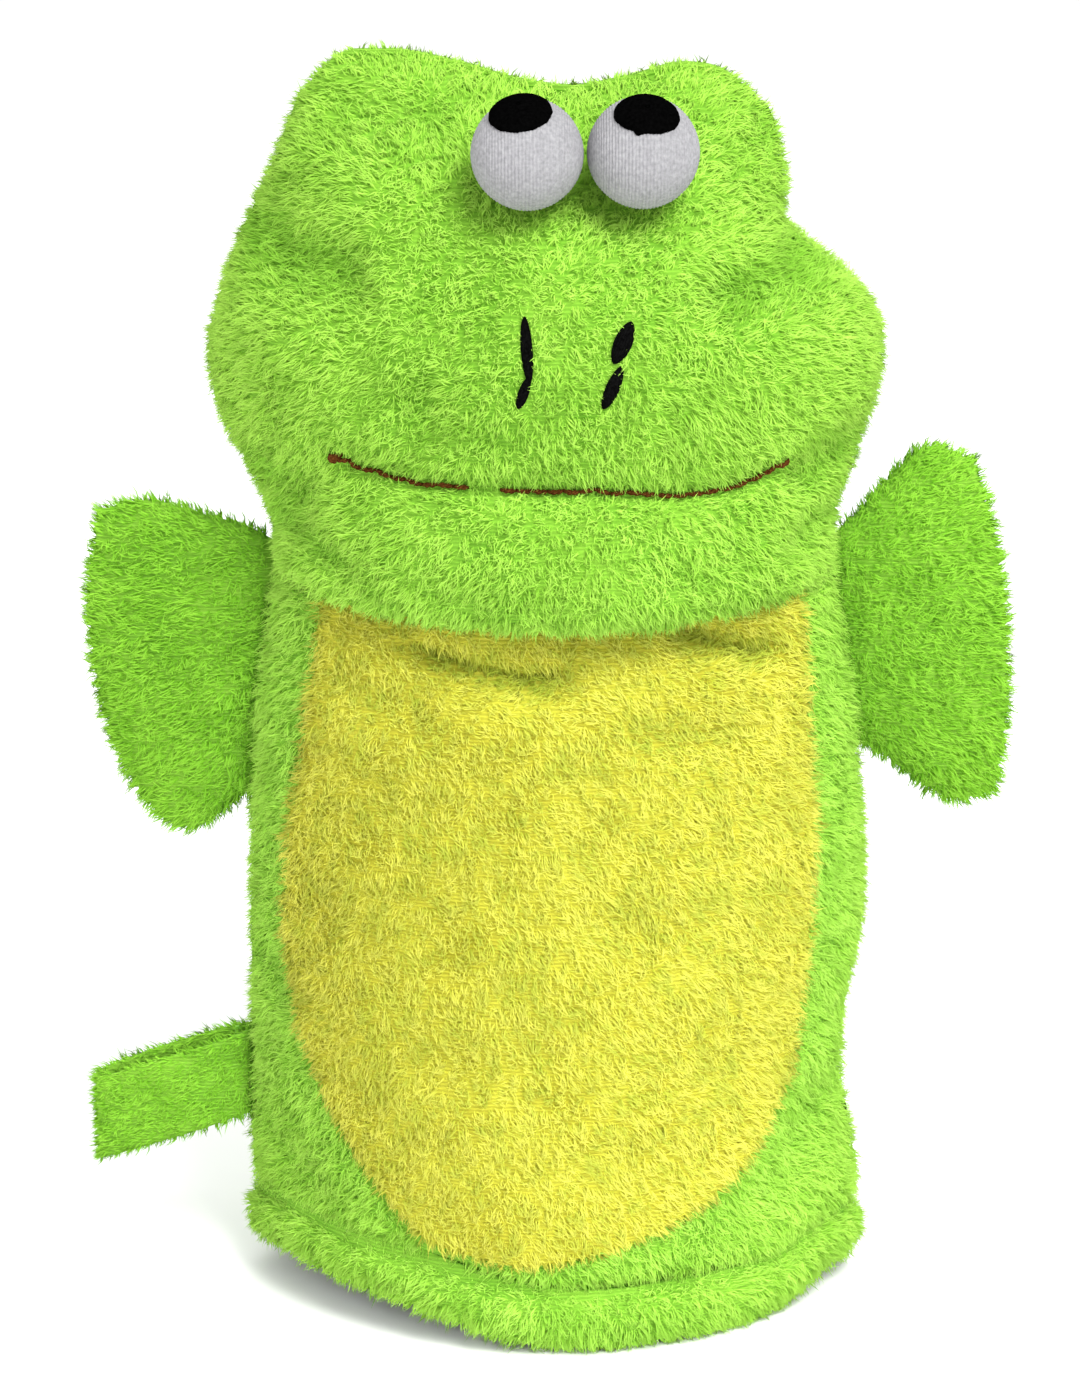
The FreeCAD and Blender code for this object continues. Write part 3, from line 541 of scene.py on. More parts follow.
def torso_point(angle, height, depth_line, front):
    """Skin points of the mitt below the neck, with its hem and its creases."""
    height, angle = np.broadcast_arrays(height, angle)
    left, right = seam_xs(height)
    z = height + hem_raise(angle, front) * np.clip(1 - height / 70.0, 0, 1) ** 1.5
    out = hem_profile(height)
    half = (right - left) / 2 + out
    depth = smooth(depth_line, height)
    depth = depth - np.sign(depth) * (PILE - out)
    x = (left + right) / 2 - half * np.cos(angle)
    y = depth * np.clip(np.sin(angle), 0, 1) ** lens(height)
    points = np.stack([x, y, z], -1)
    lumps = 0.6 * noise(points, 16, 3) + 0.3 * noise(points, 7, 5)
    lumps = lumps + 0.45 * noise(points * [0.35, 1.0, 1.0], 6.5, 7)
    if front:
        lumps = lumps + front_features(points[..., [0, 2]])
    calm = np.clip(np.sin(angle) * 3, 0, 1) * np.clip((NECK - height) / 6, 0, 1)
    outward = unit(np.stack([-np.cos(angle) / 1.3, np.sign(depth) * np.sin(angle), 0 * x], -1))
    return points + outward * (lumps * calm)[..., None]


def head_level(side_z, angle):
    """Share of the way up the head, the seam edges and the height along a row before it bulges."""
    rise = np.clip((side_z - HEAD_BASE) / (CROWN[0][1] - HEAD_BASE), 0, 1)
    right_z = np.where(side_z > HEAD_BASE, HEAD_BASE + rise * (CROWN[-1][1] - HEAD_BASE), side_z)
    across = (1 - np.cos(angle)) / 2
    left = smooth(LEFT_SEAM, side_z) + PILE
    right = smooth(RIGHT_SEAM, right_z) - PILE
    return rise, left + (right - left) * across, side_z + (right_z - side_z) * across, across


def crown_bump(across):
    x = CROWN[0][0] + (CROWN[-1][0] - CROWN[0][0]) * across
    straight = CROWN[0][1] + (CROWN[-1][1] - CROWN[0][1]) * across
    return smooth(CROWN, x) - straight


def face_features(xz):
    """The mouth's pull, brows with hollows under them, full cheeks and the roll of the chin."""
    return (crease(xz, MOUTH_LINE, 2.4, 1.9, 0.1)
            + dome(xz, -32, 219, 11, 2.6)
            + dome(xz, 24, 216, 9, 2.0)
            + dome(xz, 4, 205, 15, 1.6)
            + dome(xz, -46, 187, 11, 1.8)
            + dome(xz, 46, 184, 11, 1.4)
            + crease(xz, [(-57, 212), (-49, 205), (-40, 203), (-30, 205)], 6.5, 4.4)
            + crease(xz, [(-44, 231), (-34, 229), (-24, 229), (-17, 222)], 5.0, 2.6)
            + crease(xz, [(54, 203), (43, 201), (34, 200), (24, 200)], 5.0, 4.8)
            + crease(xz, [(42, 226), (35, 224), (30, 216)], 4.0, 1.8)
            + crease(xz, [(-60, 168), (-49, 163), (-42, 158)], 6.0, 2.8)
            + crease(xz, [(60, 172), (48, 167), (43, 161)], 4.6, 3.0)
            + crease(xz, [(-40, 186), (-28, 181), (-18, 183)], 5.0, 1.4)
            + crease(xz, [(-54, 156), (-45, 153), (-34, 147)], 3.4, 2.4)
            + crease(xz, [(56, 157), (48, 155), (42, 149)], 3.6, 2.0)
            + crease(xz, [(-30, 148), (-12, 145.5), (6, 147)], 3.6, 1.1)
            + crease(xz, [(10, 152), (26, 149), (40, 152)], 4.0, 1.2)
            + crease(xz, [(-30, 178), (-18, 175), (-8, 177)], 5.0, 0.9)
            + crease(xz, [(-3, 214), (5.5, 222), (6, 231)], 4.0, 1.6))


def head_point(angle, side_z, centre_y, centre_z, front):
    """Skin points of the head, front or back."""
    rise, x, level, across = head_level(side_z, angle)
    bulge = (centre_z - side_z) * np.sin(angle) ** 1.3
    z = level + bulge * (1 - rise ** 6) + crown_bump(across) * rise ** 3 - PILE * rise ** 4
    depth = centre_y - np.sign(centre_y) * np.minimum(PILE, np.abs(centre_y))
    y = depth * np.clip(np.sin(angle), 0, 1) ** NECK_LENS
    points = np.stack([x, y, z], -1)
    lumps = 0.75 * noise(points, 18, 23) + 0.4 * noise(points, 8, 29)
    if front:
        lumps = lumps + face_features(points[..., [0, 2]])
    calm = np.clip(np.sin(angle) * 3, 0, 1) * np.clip(np.abs(centre_y) / 12, 0, 1)
    calm = calm * np.clip((side_z - HEAD_BASE) / 3, 0, 1)
    lean = np.broadcast_arrays(-np.cos(angle) / 1.3, np.sign(centre_y) * np.sin(angle), 0.4 * rise)
    return points + unit(np.stack(lean, -1)) * (lumps * calm)[..., None]


def profile_rows(profile, rows):
    """Evenly spaced rows of a centre line: side heights, y and z."""
    p = np.array(profile, float)
    fine = along(p, np.linspace(0, 1, rows))
    return fine[:, 0:1], fine[:, 1:2], fine[:, 2:3]


COLUMNS = 121
ANGLES = np.linspace(0, math.pi, COLUMNS)[None, :]


def torso_heights(top, rows):
    """Rows up the mitt, close together at the hem."""
    return np.concatenate([np.linspace(0, 18, 20), np.linspace(19.5, top, rows)])[:, None]


def front_grid():
    return torso_point(ANGLES, torso_heights(NECK, 76), TORSO_FRONT, True)


def face_grid():
    side_z, y, z = profile_rows(FACE, 110)
    return head_point(ANGLES, side_z, y, z, True)


def back_grid():
    """The back is one piece of cloth, from the hem to the crown."""
    below = torso_point(ANGLES, torso_heights(NECK - 1.2, 70), TORSO_BACK, False)
    side_z, y, z = profile_rows([p for p in BACK if p[0] >= NECK], 80)
    return np.concatenate([below, head_point(ANGLES, side_z, y, z, False)])


def belly_grid(rows=90, columns=90):
    """The belly lies on the front, its edge turned under."""
    heights = BELLY_LOW + (BELLY_HIGH - BELLY_LOW) * (np.linspace(0, 1, rows) ** 1.25)
    left, right = smooth(BELLY_LEFT, heights)[:, None], smooth(BELLY_RIGHT, heights)[:, None]
    share = np.linspace(0, 1, columns)[None, :]
    x = left + (right - left) * share
    heights = heights[:, None] + 0 * x
    seam_left, seam_right = seam_xs(heights)
    centre, half = (seam_left + seam_right) / 2, (seam_right - seam_left) / 2 + hem_profile(heights)
    angle = np.arccos(np.clip((centre - x) / half, -1, 1))
    ground = torso_point(angle, heights, TORSO_FRONT, True)
    out = grid_normals(ground)
    out = np.where(out[..., 1:2] > 0, -out, out)
    edge = np.minimum(np.minimum(share, 1 - share) * (right - left), (heights - BELLY_LOW) * 1.5)
    lift = 0.25 + 1.25 * np.sqrt(np.clip(edge / 2.5, 0, 1))
    return ground + out * lift[..., None], out


def skin_piece(name, grid, side, *nodes):
    """A green cloth panel from its grid: side is -1 in front and 1 behind."""
    normals = grid_normals(grid)
    normals = np.where((normals[..., 1:2] * side) < -0.02, -normals, normals)
    piece = paint(sheet(name, grid, normals, GROUND), GREEN_GROUND)
    return stands_for(piece, "green_plush", *nodes)


# ---------------------------------------------------------------- pile
def read(items, key, kind):
    """A mesh's values in rows of three."""
    values = np.zeros(len(items) * 3, kind)
    items.foreach_get(key, values)
    return values.reshape(-1, 3)


def surface_samples(piece, per_mm2, keep=None):
    """Random points spread evenly over a piece's outer faces: places and normals, in millimetres."""
    mesh = piece.data
    mesh.calc_loop_triangles()
    triangles = read(mesh.loop_triangles, "vertices", np.int32)
    places = read(mesh.vertices, "co", np.float32).astype(float) / MM
    normals = read(mesh.vertices, "normal", np.float32).astype(float)
    if keep is not None:
        triangles = triangles[keep(places, triangles)]
    a, b, c = (places[triangles[:, k]] for k in range(3))
    area = np.linalg.norm(np.cross(b - a, c - a), axis=1) / 2
    total = area.sum()
    count = int(total * per_mm2)
    chosen = rng.choice(len(triangles), count, p=area / total)
    u, v = rng.random(count), rng.random(count)
    flip = u + v > 1
    u[flip], v[flip] = 1 - u[flip], 1 - v[flip]
    weights = np.stack([1 - u - v, u, v], 1)[..., None]
    place = (places[triangles[chosen]] * weights).sum(1)
    normal = unit((normals[triangles[chosen]] * weights).sum(1))
    return place, normal


def outer_half(places, triangles):
    """The faces of a sheet's outer side: its first half of points."""
    return (triangles < len(places) // 2).all(1)


def fibre_shape(curved):
    """Triangles of one fibre, and for each of its points the share across it and the height."""
    if not curved:
        faces = np.array([(0, 2, 1), (0, 1, 3), (1, 2, 3), (2, 0, 3)])
        return faces, np.array([0, 1, 2, 1]) / 3, np.array([0, 0, 0, 1.0])
    faces = [(0, 2, 1)]
    for k in range(3):
        n = (k + 1) % 3
        faces += [(k, n, 3 + n), (k, 3 + n, 3 + k), (3 + k, 3 + n, 6)]
    return np.array(faces), np.array([0, 1, 2, 0, 1, 2, 1]) / 3, np.array([0, 0, 0, 0.5, 0.5, 0.5, 1.0])


def fibres(name, place, normal, comb, length, shade, made, bodies, curved):
    """Pointed fibres rooted at places, as closed meshes of at most TRIANGLES_PER_PIECE triangles each.

    Their shading normals lean to the skin's own, as light in a dense pile does not show each fibre's side.
    """
    count = len(place)
    comb = comb - normal * (comb * normal).sum(1, keepdims=True)
    centre, own = nearest_tuft(place, TUFT, 61)
    pull = centre - place
    pull = pull - normal * (pull * normal).sum(1, keepdims=True)
    lean = noise_vectors(centre, 3.2, 41) * 0.8 + noise_vectors(centre, 9.0, 47) * 0.4
    jitter = rng.normal(0, 0.20, (count, 3))
    first = unit(normal + comb * 0.45 + lean * 0.36 + pull * 0.26 + jitter)
    second = unit(normal * 0.6 + comb * 0.85 + lean * 0.60 + pull * 0.44 + jitter * 1.2)
    length = length * (1 + 0.14 * own)
    below = (second * normal).sum(1, keepdims=True)
    second = unit(second + normal * np.clip(0.14 - below, 0, 1))
    root = place - normal * 0.35
    middle = root + first * (length * 0.5)[:, None]
    tip = middle + second * (length * 0.55)[:, None]
    middle, tip = press(middle, tip)
    spin = rng.normal(0, 1, (count, 3))
    side = unit(np.cross(first, spin))
    other = np.cross(first, side)
    widths = FIBRE_WIDTH * rng.uniform(0.8, 1.2, count)[:, None] * (1.0 if curved else 1.15)
    one, across, upward = fibre_shape(curved)
    size = len(across)
    points = np.zeros((count, size, 3), np.float32)
    shading = np.zeros((count, size, 3), np.float32)
    for k in range(3):
        turn = 2 * math.pi * k / 3
        ring = side * math.cos(turn) + other * math.sin(turn)
        points[:, k] = root + ring * widths * 0.5
        shading[:, k] = unit(normal + ring * 0.3)
        if curved:
            points[:, 3 + k] = middle + ring * widths * 0.42
            shading[:, 3 + k] = unit(normal + ring * 0.3)
    points[:, size - 1] = tip
    shading[:, size - 1] = unit(normal + second * 0.2)
    # Each fibre's value: random, its tuft's own, and painted shade or light from the cloth's relief.
    tones_and_shade = np.clip(rng.normal(0.64, 0.20, count) + 0.12 * own + shade, 0, 1)
    per_piece = TRIANGLES_PER_PIECE // len(one)
    for start in range(0, count, per_piece):
        part = slice(start, min(start + per_piece, count))
        number = part.stop - part.start
        faces = (one[None] + size * np.arange(number)[:, None, None]).reshape(-1, 3)
        title = name if count <= per_piece else f"{name}_{start // per_piece + 1}"
        piece = paint(mesh_object(title, points[part].reshape(-1, 3), [faces]), made)
        piece.data.normals_split_custom_set_from_vertices(shading[part].reshape(-1, 3))
        for key, values in (("height", np.tile(upward, number)), ("tone_and_shade", np.repeat(tones_and_shade[part], size))):
            attribute = piece.data.attributes.new(key, "FLOAT", "POINT")
            attribute.data.foreach_set("value", values.astype(np.float32))
        cells = math.ceil(math.sqrt(number))
        which = np.repeat(np.arange(number), one.size)
        corner = np.tile(one.ravel(), number)
        u = ((which % cells) + 0.2 + 0.6 * across[corner]) / cells
        v = ((which // cells) + 0.15 + 0.7 * upward[corner]) / cells
        layer = piece.data.uv_layers.new(name="OFBake")
        layer.data.foreach_set("uv", np.stack([u, v], 1).astype(np.float32).ravel())
        attach(piece, bodies)


# Two layers of pile: curved fibres, and shorter straight ones that fill between them.
LAYERS = (("top", 2.3, 1.0, True), ("under", 3.2, 0.75, False))


def grow(name, piece, made, bodies, comb, length,
         faces_kept=None, points_kept=None, relief=None):
    """The pile of a piece. comb, length, points_kept and relief work on arrays of places and normals.

    relief gives how high the cloth stands: as painted shade, the pile's colour is darkened in its hollows and
    lightened a little on its swellings.
    """
    for layer, per_mm2, tall, curved in LAYERS:
        place, normal = surface_samples(piece, per_mm2, faces_kept)
        if points_kept is not None:
            kept = points_kept(place, normal)
            place, normal = place[kept], normal[kept]
        # Painted shade: a fibre is darker in the cloth's hollows and a little lighter on its swellings.
        shade = 0.0 if relief is None else 0.22 * np.clip(relief(place[:, [0, 2]]), -4, 1)
        fibres(f"{name}_{layer}", place, normal, comb(place), length(place) * tall, shade, made, bodies,
               curved)


def attach(piece, bodies):
    """Rides on one body, ("a",); given two, ("a", "b", start, end), it only has its place baked into its
    mesh.
    """
    if len(bodies) == 1:
        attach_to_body(piece, bodies[0])
    else:
        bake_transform(piece)


pressed = []            # (centre, radius) of balls that push the pile aside


def press(middle, tip):
    """Fibres are pushed out of the eye balls and off the floor."""
    for centre, radius in pressed:
        for points, gap in ((middle, 0.1), (tip, 0.15)):
            away = points - centre
            far = np.linalg.norm(away, axis=1)
            inside = far < radius + gap
            points[inside] = centre + unit(away[inside]) * (radius + gap)
    for points in (middle, tip):
        points[:, 2] = np.maximum(points[:, 2], FLOOR + 0.25)
    return middle, tip


NOD = ("mitt", "head", NOD_START, NOD_END)


# ---------------------------------------------------------------- eyes, pupils and embroidery
def eye_cover(name, centre):
    """A ball covered in rib knit, its ribs running from the front over the top to the back."""
    rows, columns, ribs = 344, 110, 49
    turn = 2 * math.pi * np.arange(columns)[None, :] / columns
    rise = np.linspace(0.02, math.pi - 0.02, rows)[:, None]
    wave = np.abs(np.sin(rise * ribs))
    wander = 0.02 * np.sin(turn * 9 + rise * 5)
    wales = 0.17 * (wave - 0.6) * np.sin(rise) ** 0.5
    radius = EYE_RADIUS - 0.14 + wales + wander
    round_it = np.sin(rise)
    points = np.stack([np.cos(rise) + 0 * turn, -round_it * np.cos(turn), round_it * np.sin(turn)], -1)
    points = (points * radius[..., None] + centre).reshape(-1, 3)
    caps = centre + np.array([[1.0, 0, 0], [-1.0, 0, 0]]) * (EYE_RADIUS - 0.2)
    faces = [grid_faces(rows, columns, wrap=True), end_fans(rows, columns)]
    return paint(mesh_object(name, np.concatenate([points, caps]), faces), WHITE_KNIT)


def pupil(name, centre, gaze, twist, wide, high, point):
    """An oval of black felt, domed on the ball. Its edge may run out to a small point below."""
    gaze = unit(np.array(gaze, float))
    right = unit(np.cross(gaze, np.array([0, 0, 1.0])))
    right = -right if right[0] < 0 else right
    up = np.cross(right, gaze)
    up = -up if up[2] < 0 else up
    c, s = math.cos(math.radians(twist)), math.sin(math.radians(twist))
    right, up = right * c + up * s, up * c - right * s
    rings, spokes = 18, 96
    share = np.linspace(0, 1, rings)[1:, None]
    turn = 2 * math.pi * np.arange(spokes)[None, :] / spokes
    ragged = 1 + 0.008 * np.sin(turn * 11 + 0.6) + 0.006 * np.sin(turn * 23)
    ragged = ragged + point * np.exp(-((turn - 4.55) / 0.10) ** 2)
    u, v = wide * share * np.cos(turn) * ragged, high * share * np.sin(turn) * ragged
    flat = np.stack([u, v], -1)
    flat = np.concatenate([np.zeros((1, 2)), flat.reshape(-1, 2)])
    radial = np.concatenate([[0], np.repeat(share.ravel(), spokes)])
    angle = np.linalg.norm(flat, axis=1) / EYE_RADIUS
    way = np.where(angle[:, None] > 0, unit(flat), 0)
    dome = 0.75 * np.sqrt(np.clip(1 - radial ** 6, 0, 1)) + 0.12
    both = []
    for lift in (dome, np.full_like(dome, -0.25)):
        r = (EYE_RADIUS + lift)[:, None]
        direction = (gaze[None] * np.cos(angle)[:, None]
                     + (way[:, :1] * right + way[:, 1:] * up) * np.sin(angle)[:, None])
        both.append(centre + direction * r)
    count = len(flat)
    ring = 1 + np.arange(spokes)
    middle = fan(0, ring)
    rest = grid_faces(rings - 1, spokes, 1, wrap=True)
    rim = ring + (rings - 2) * spokes
    following = np.roll(rim, -1)
    side = np.stack([rim, rim + count, following + count, following], 1)
    quads = np.concatenate([rest[:, ::-1], rest + count, side])
    fans = np.concatenate([middle[:, ::-1], middle + count])
    made = mesh_object(name, np.concatenate(both), [quads, fans])
    return paint(made, BLACK_FELT)


def twisted(a, b, radius, out, arch, turns_per_mm):
    """One stitch of two-ply thread from a to b, its ends sinking into the cloth."""
    a, b, out = (np.asarray(p, float) for p in (a, b, out))
    length = np.linalg.norm(b - a)
    steps = max(12, int(length * 5))
    s = np.linspace(0, 1, steps)[:, None]
    rise = np.sin(math.pi * s) ** 0.5
    line = a + (b - a) * s + out * (rise * (radius * 0.9 + arch) - radius * 1.1)
    direction = unit(b - a)
    side = unit(np.cross(direction, out))
    parts = []
    for k in range(2):
        turn = 2 * math.pi * (s * length * turns_per_mm + k / 2)
        swell = radius * 0.52 * np.sin(math.pi * np.clip(s, 0.03, 0.97)) ** 0.3
        path = line + (side * np.cos(turn) + out * np.sin(turn)) * swell
        parts.append(tube(path, radius * 0.62, 8))
    return parts


def satin(a, b, wide, out):
    """A leaf-shaped stitch from a to b: threads side by side that meet at both ends."""
    a, b, out = (np.asarray(p, float) for p in (a, b, out))
    s = np.linspace(0, 1, 26)[:, None]
    swell = np.sin(math.pi * s) ** 0.7
    side = unit(np.cross(b - a, out))
    parts = []
    for q in np.linspace(-1, 1, SATIN_THREADS):
        dome = (0.35 + 0.45 * wide * math.sqrt(1 - 0.85 * q * q)) * np.sin(math.pi * s) ** 0.45
        path = a + (b - a) * s + side * (q * wide / 2 * swell) + out * (dome - 0.8)
        parts.append(tube(path, 0.34, 8))
    return parts


class Surface:
    """Finds the front of a piece at x and z."""

    def __init__(self, piece):
        mesh = piece.data
        self.tree = BVHTree.FromPolygons([v.co for v in mesh.vertices], [p.vertices for p in mesh.polygons])

    def at(self, x, z):
        hit = self.tree.ray_cast(Vector((x * MM, -0.2, z * MM)), Vector((0, 1, 0)))
        if hit[0] is None:
            hit = self.tree.find_nearest(Vector((x * MM, -0.02, z * MM)))
        normal = np.array(hit[1])
        return np.array(hit[0]) / MM, -normal if normal[1] > 0 else normal


def lie(surface, x, z, lift):
    place, normal = surface.at(x, z)
    return place + normal * lift, normal


# ---------------------------------------------------------------- flippers and loop
def flipper_sheet(outline, rows=40, columns=36):
    """Places in the XZ plane over a flipper, and half its thickness there."""
    v = (1 - np.cos(np.linspace(0, math.pi, rows))) / 2
    u = (1 - np.cos(np.linspace(0, math.pi, columns))) / 2
    root, outer = along(outline["root"], v)[:, None], along(outline["outer"], v)[:, None]
    bottom, top = along(outline["bottom"], u)[None], along(outline["top"], u)[None]
    uu, vv = u[None, :, None], v[:, None, None]
    corners = [np.array(outline["root"][0]), np.array(outline["root"][-1]),
               np.array(outline["outer"][0]), np.array(outline["outer"][-1])]
    flat = (root * (1 - uu) + outer * uu + bottom * (1 - vv) + top * vv
            - corners[0] * (1 - uu) * (1 - vv) - corners[1] * (1 - uu) * vv
            - corners[2] * uu * (1 - vv) - corners[3] * uu * vv)
    crown_u, crown_v = (np.sqrt(4 * share[..., 0] * (1 - share[..., 0])) for share in (uu, vv))
    return flat, FLIPPER_HALF * (crown_u * crown_v) ** 0.8


def closed_pad(name, flat, thick):
    """A pad from a flat sheet and its half-thickness: front and back joined at the rim."""
    rows, columns = flat.shape[:2]
    middle = flat[rows // 2, columns // 2]
    span = (flat.reshape(-1, 2).max(0) - flat.reshape(-1, 2).min(0)) / 2
    flat = middle + (flat - middle) * (1 - FLIPPER_INSET / span)
    front = np.stack([flat[..., 0], -thick, flat[..., 1]], -1)
    back = front * np.array([1, -1, 1])
    ids = np.arange(rows * columns).reshape(rows, columns)
    other = ids + rows * columns
    other[0], other[-1], other[:, 0], other[:, -1] = ids[0], ids[-1], ids[:, 0], ids[:, -1]
    faces = grid_faces(rows, columns)
    mirrored = other.ravel()[faces][:, ::-1]
    points = np.concatenate([front.reshape(-1, 3), back.reshape(-1, 3)])
    used, renumbered = np.unique(np.concatenate([faces, mirrored]), return_inverse=True)
    return mesh_object(name, points[used], [outside_out(points[used], renumbered.reshape(-1, 4))])


def puffed(piece, pressure, pinned_x, frames=16):
    """The pad blown up by cloth simulation, held along its root."""
    bpy.context.view_layer.objects.active = piece
    group = piece.vertex_groups.new(name="root")
    xs = np.array([abs(v.co.x) for v in piece.data.vertices])
    group.add([int(k) for k in np.nonzero(xs < pinned_x * MM)[0]], 1.0, "REPLACE")
    cloth = piece.modifiers.new("cloth", "CLOTH")
    settings = cloth.settings
    settings.use_pressure = True
    settings.uniform_pressure_force = pressure
    settings.effector_weights.gravity = 0
    settings.vertex_group_mass = "root"
    settings.quality = 6
    settings.tension_stiffness = 12
    settings.bending_stiffness = 0.6
    scene = bpy.context.scene
    for number in range(1, frames + 1):
        scene.frame_set(number)
    bpy.context.view_layer.update()
    shaped = bpy.data.meshes.new_from_object(piece.evaluated_get(bpy.context.evaluated_depsgraph_get()))
    piece.modifiers.clear()
    piece.vertex_groups.clear()
    piece.data = shaped
    scene.frame_set(1)
    return piece


def subdivided(piece, levels=1):
    piece.modifiers.new("round", "SUBSURF").levels = levels
    bpy.context.view_layer.update()
    piece.data = bpy.data.meshes.new_from_object(piece.evaluated_get(bpy.context.evaluated_depsgraph_get()))
    piece.modifiers.clear()
    piece.data.shade_smooth()
    return piece


# ---------------------------------------------------------------- building
def build_skin():
    front = skin_piece("front_skin", front_grid(), -1, "front_body_panel")
    face = skin_piece("face_skin", face_grid(), -1, "face_panel", "chin_underfold")
    back = skin_piece("back_skin", back_grid(), 1, "back_body_panel", "head_back_panel")
    grid, out = belly_grid()
    belly = paint(sheet("belly_skin", grid, out, 1.2), YELLOW_GROUND)
    stands_for(belly, "yellow_plush", "belly_panel")
    return front, face, back, belly


def near_line(place, line, reach):
    """1 on a line of (x, z) points, falling to 0 at that reach, for places on the front."""
    gap, _ = distance_to_line(place[:, [0, 2]], line)
    return np.where(place[:, 1] < 0, np.clip(1 - gap / reach, 0, 1), 0)


def lengths(count, mean):
    return mean * np.clip(rng.normal(1.0, 0.16, count), 0.55, 1.5)


def combed(place, across, fall):
    """Directions that lay the pile sideways and down, at each place."""
    return np.stack([across + 0 * place[:, 0], 0 * place[:, 0], fall + 0 * place[:, 0]], 1)


def downward(across, fall):
    """A comb that lays the pile down, and a little towards the sides."""
    return lambda place: combed(place, across * np.sign(place[:, 0]), fall)


def face_comb(place):
    """The pile lies down over the face and stands up along the crown."""
    fall = np.interp(place[:, 2], [150, 200, 232, 240], [-0.6, -0.3, -0.1, 0.1])
    return combed(place, 0.012 * place[:, 0], fall)


def face_length(place):
    """Stitches hold the pile down along the mouth and at the nostrils."""
    flat = 1 - 0.65 * near_line(place, MOUTH_LINE, 2.4)
    for line in NOSTRIL_LINES:
        flat = flat * (1 - 0.65 * near_line(place, line, 2.8))
    return lengths(len(place), 2.8) * flat * crown_trim(place)


def crown_trim(place):
    """The pile is shorter along the crown seam."""
    return np.interp(place[:, 2], [226, 238], [1.0, 0.75])


def body_length(place):
    """The hem's stitches hold the pile down in a groove."""
    lift = smooth(HEM_LIFT, np.clip(place[:, 0] / 59.0, -1, 1)) * 0.76
    groove = np.exp(-((place[:, 2] - HEM_HEIGHT - lift) / 1.3) ** 2)
    return lengths(len(place), 2.8) * (1 - 0.3 * groove)


def off_the_belly(place, _):
    """The front's pile is left out under the belly."""
    height = np.clip(place[:, 2], BELLY_LOW, BELLY_HIGH)
    left = smooth(BELLY_LEFT, height) + 1.2
    right = smooth(BELLY_RIGHT, height) - 1.2
    return (place[:, 0] < left) | (place[:, 0] > right) | (place[:, 2] < BELLY_LOW + 1.0)


def back_comb(place):
    """The back's pile lies down, and stands up along the crown."""
    fall = np.interp(place[:, 2], [200, 232, 240], [-0.6, -0.2, 0.1])
    return combed(place, 0.1 * np.sign(place[:, 0]), fall)


def grow_pile(front, face, back, belly):
    grow("front_pile", front, GREEN_PILE, NOD, downward(0.25, -0.6), body_length,
         outer_half, off_the_belly, front_features)
    grow("belly_pile", belly, YELLOW_PILE, NOD,
         lambda place: combed(place, 0.5, -0.55), lambda place: lengths(len(place), 2.6),
         outer_half, None, front_features)
    grow("face_pile", face, GREEN_PILE, NOD, face_comb, face_length,
         outer_half, None, face_features)
    grow("back_pile", back, GREEN_PILE, NOD, back_comb,
         lambda place: lengths(len(place), 2.8) * crown_trim(place), outer_half)


NOSTRIL_LINES = [[(-5.2, 199.0), (-4.6, 187.0), (-6.0, 181.8)], [(13.5, 197.8), (10.9, 190.2), (8.9, 182.4)]]


def build_eyes():
    eyes = (("left", (-0.135, -0.427, 0.894), 10.0, 6.0, 5.6, 0.0),
            ("right", (0.053, -0.538, 0.841), -12.0, 6.2, 5.0, 0.13))
    for side, gaze, twist, wide, high, point in eyes:
        low_corner, high_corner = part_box("eye_cover_" + side)
        centre = (np.array(low_corner) + np.array(high_corner)) / 2 / MM
        pressed.append((centre, EYE_RADIUS))
        cover = eye_cover("knit_eye_" + side, centre)
        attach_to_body(cover, "head")
        stands_for(cover, "white_knit", "eye_cover_" + side)
        spot = pupil("felt_pupil_" + side, centre, gaze, twist, wide, high, point)
        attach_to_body(spot, "head")
        stands_for(spot, "black_felt", "pupil_" + side)


def build_nostrils(surface):
    """Two satin stitches on each side, given as their ends and width."""
    sets = (("left", [((-5.2, 197.6), (-4.4, 186.2), 1.5), ((-4.5, 187.0), (-6.4, 181.6), 1.3)]),
            ("right", [((13.7, 196.6), (10.7, 189.6), 2.7), ((12.0, 188.8), (8.8, 181.4), 1.9)]))
    for side, stitches in sets:
        parts = []
        for (x0, z0), (x1, z1), wide in stitches:
            a, n0 = lie(surface, x0, z0, 1.0)
            b, n1 = lie(surface, x1, z1, 1.0)
            parts += satin(a, b, wide, unit(n0 + n1))
        made = paint(joined("floss_nostril_" + side, parts), BLACK_FLOSS)
        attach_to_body(made, "head")
        stands_for(made, "black_floss", "nostril_stitches_" + side)


def build_mouth(surface):
    """A line of twisted stitches with two of them sunk in the pile, and a knot at its left end."""
    parts = []
    for k in range(MOUTH_STITCHES):
        if k in SUNK_STITCHES:
            continue
        ends = along(MOUTH_LINE, [(k + 0.02) / MOUTH_STITCHES, (k + 1.05) / MOUTH_STITCHES])
        shift = 0.35 if k % 2 else -0.35
        a, n0 = lie(surface, ends[0][0], ends[0][1] + shift, 0.9)
        b, n1 = lie(surface, ends[1][0], ends[1][1] - shift, 0.9)
        parts += twisted(a, b, 0.46, unit(n0 + n1), 0.4, 0.5)
    knot, out = lie(surface, *KNOT, 0.9)
    parts += twisted(knot - [1.0, 0, 0.5], knot + [1.2, 0, -0.2], 0.85, out, 0.5, 0.9)
    made = paint(joined("floss_mouth", parts), BROWN_FLOSS)
    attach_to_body(made, "head")
    stands_for(made, "brown_floss", "mouth_stitches")


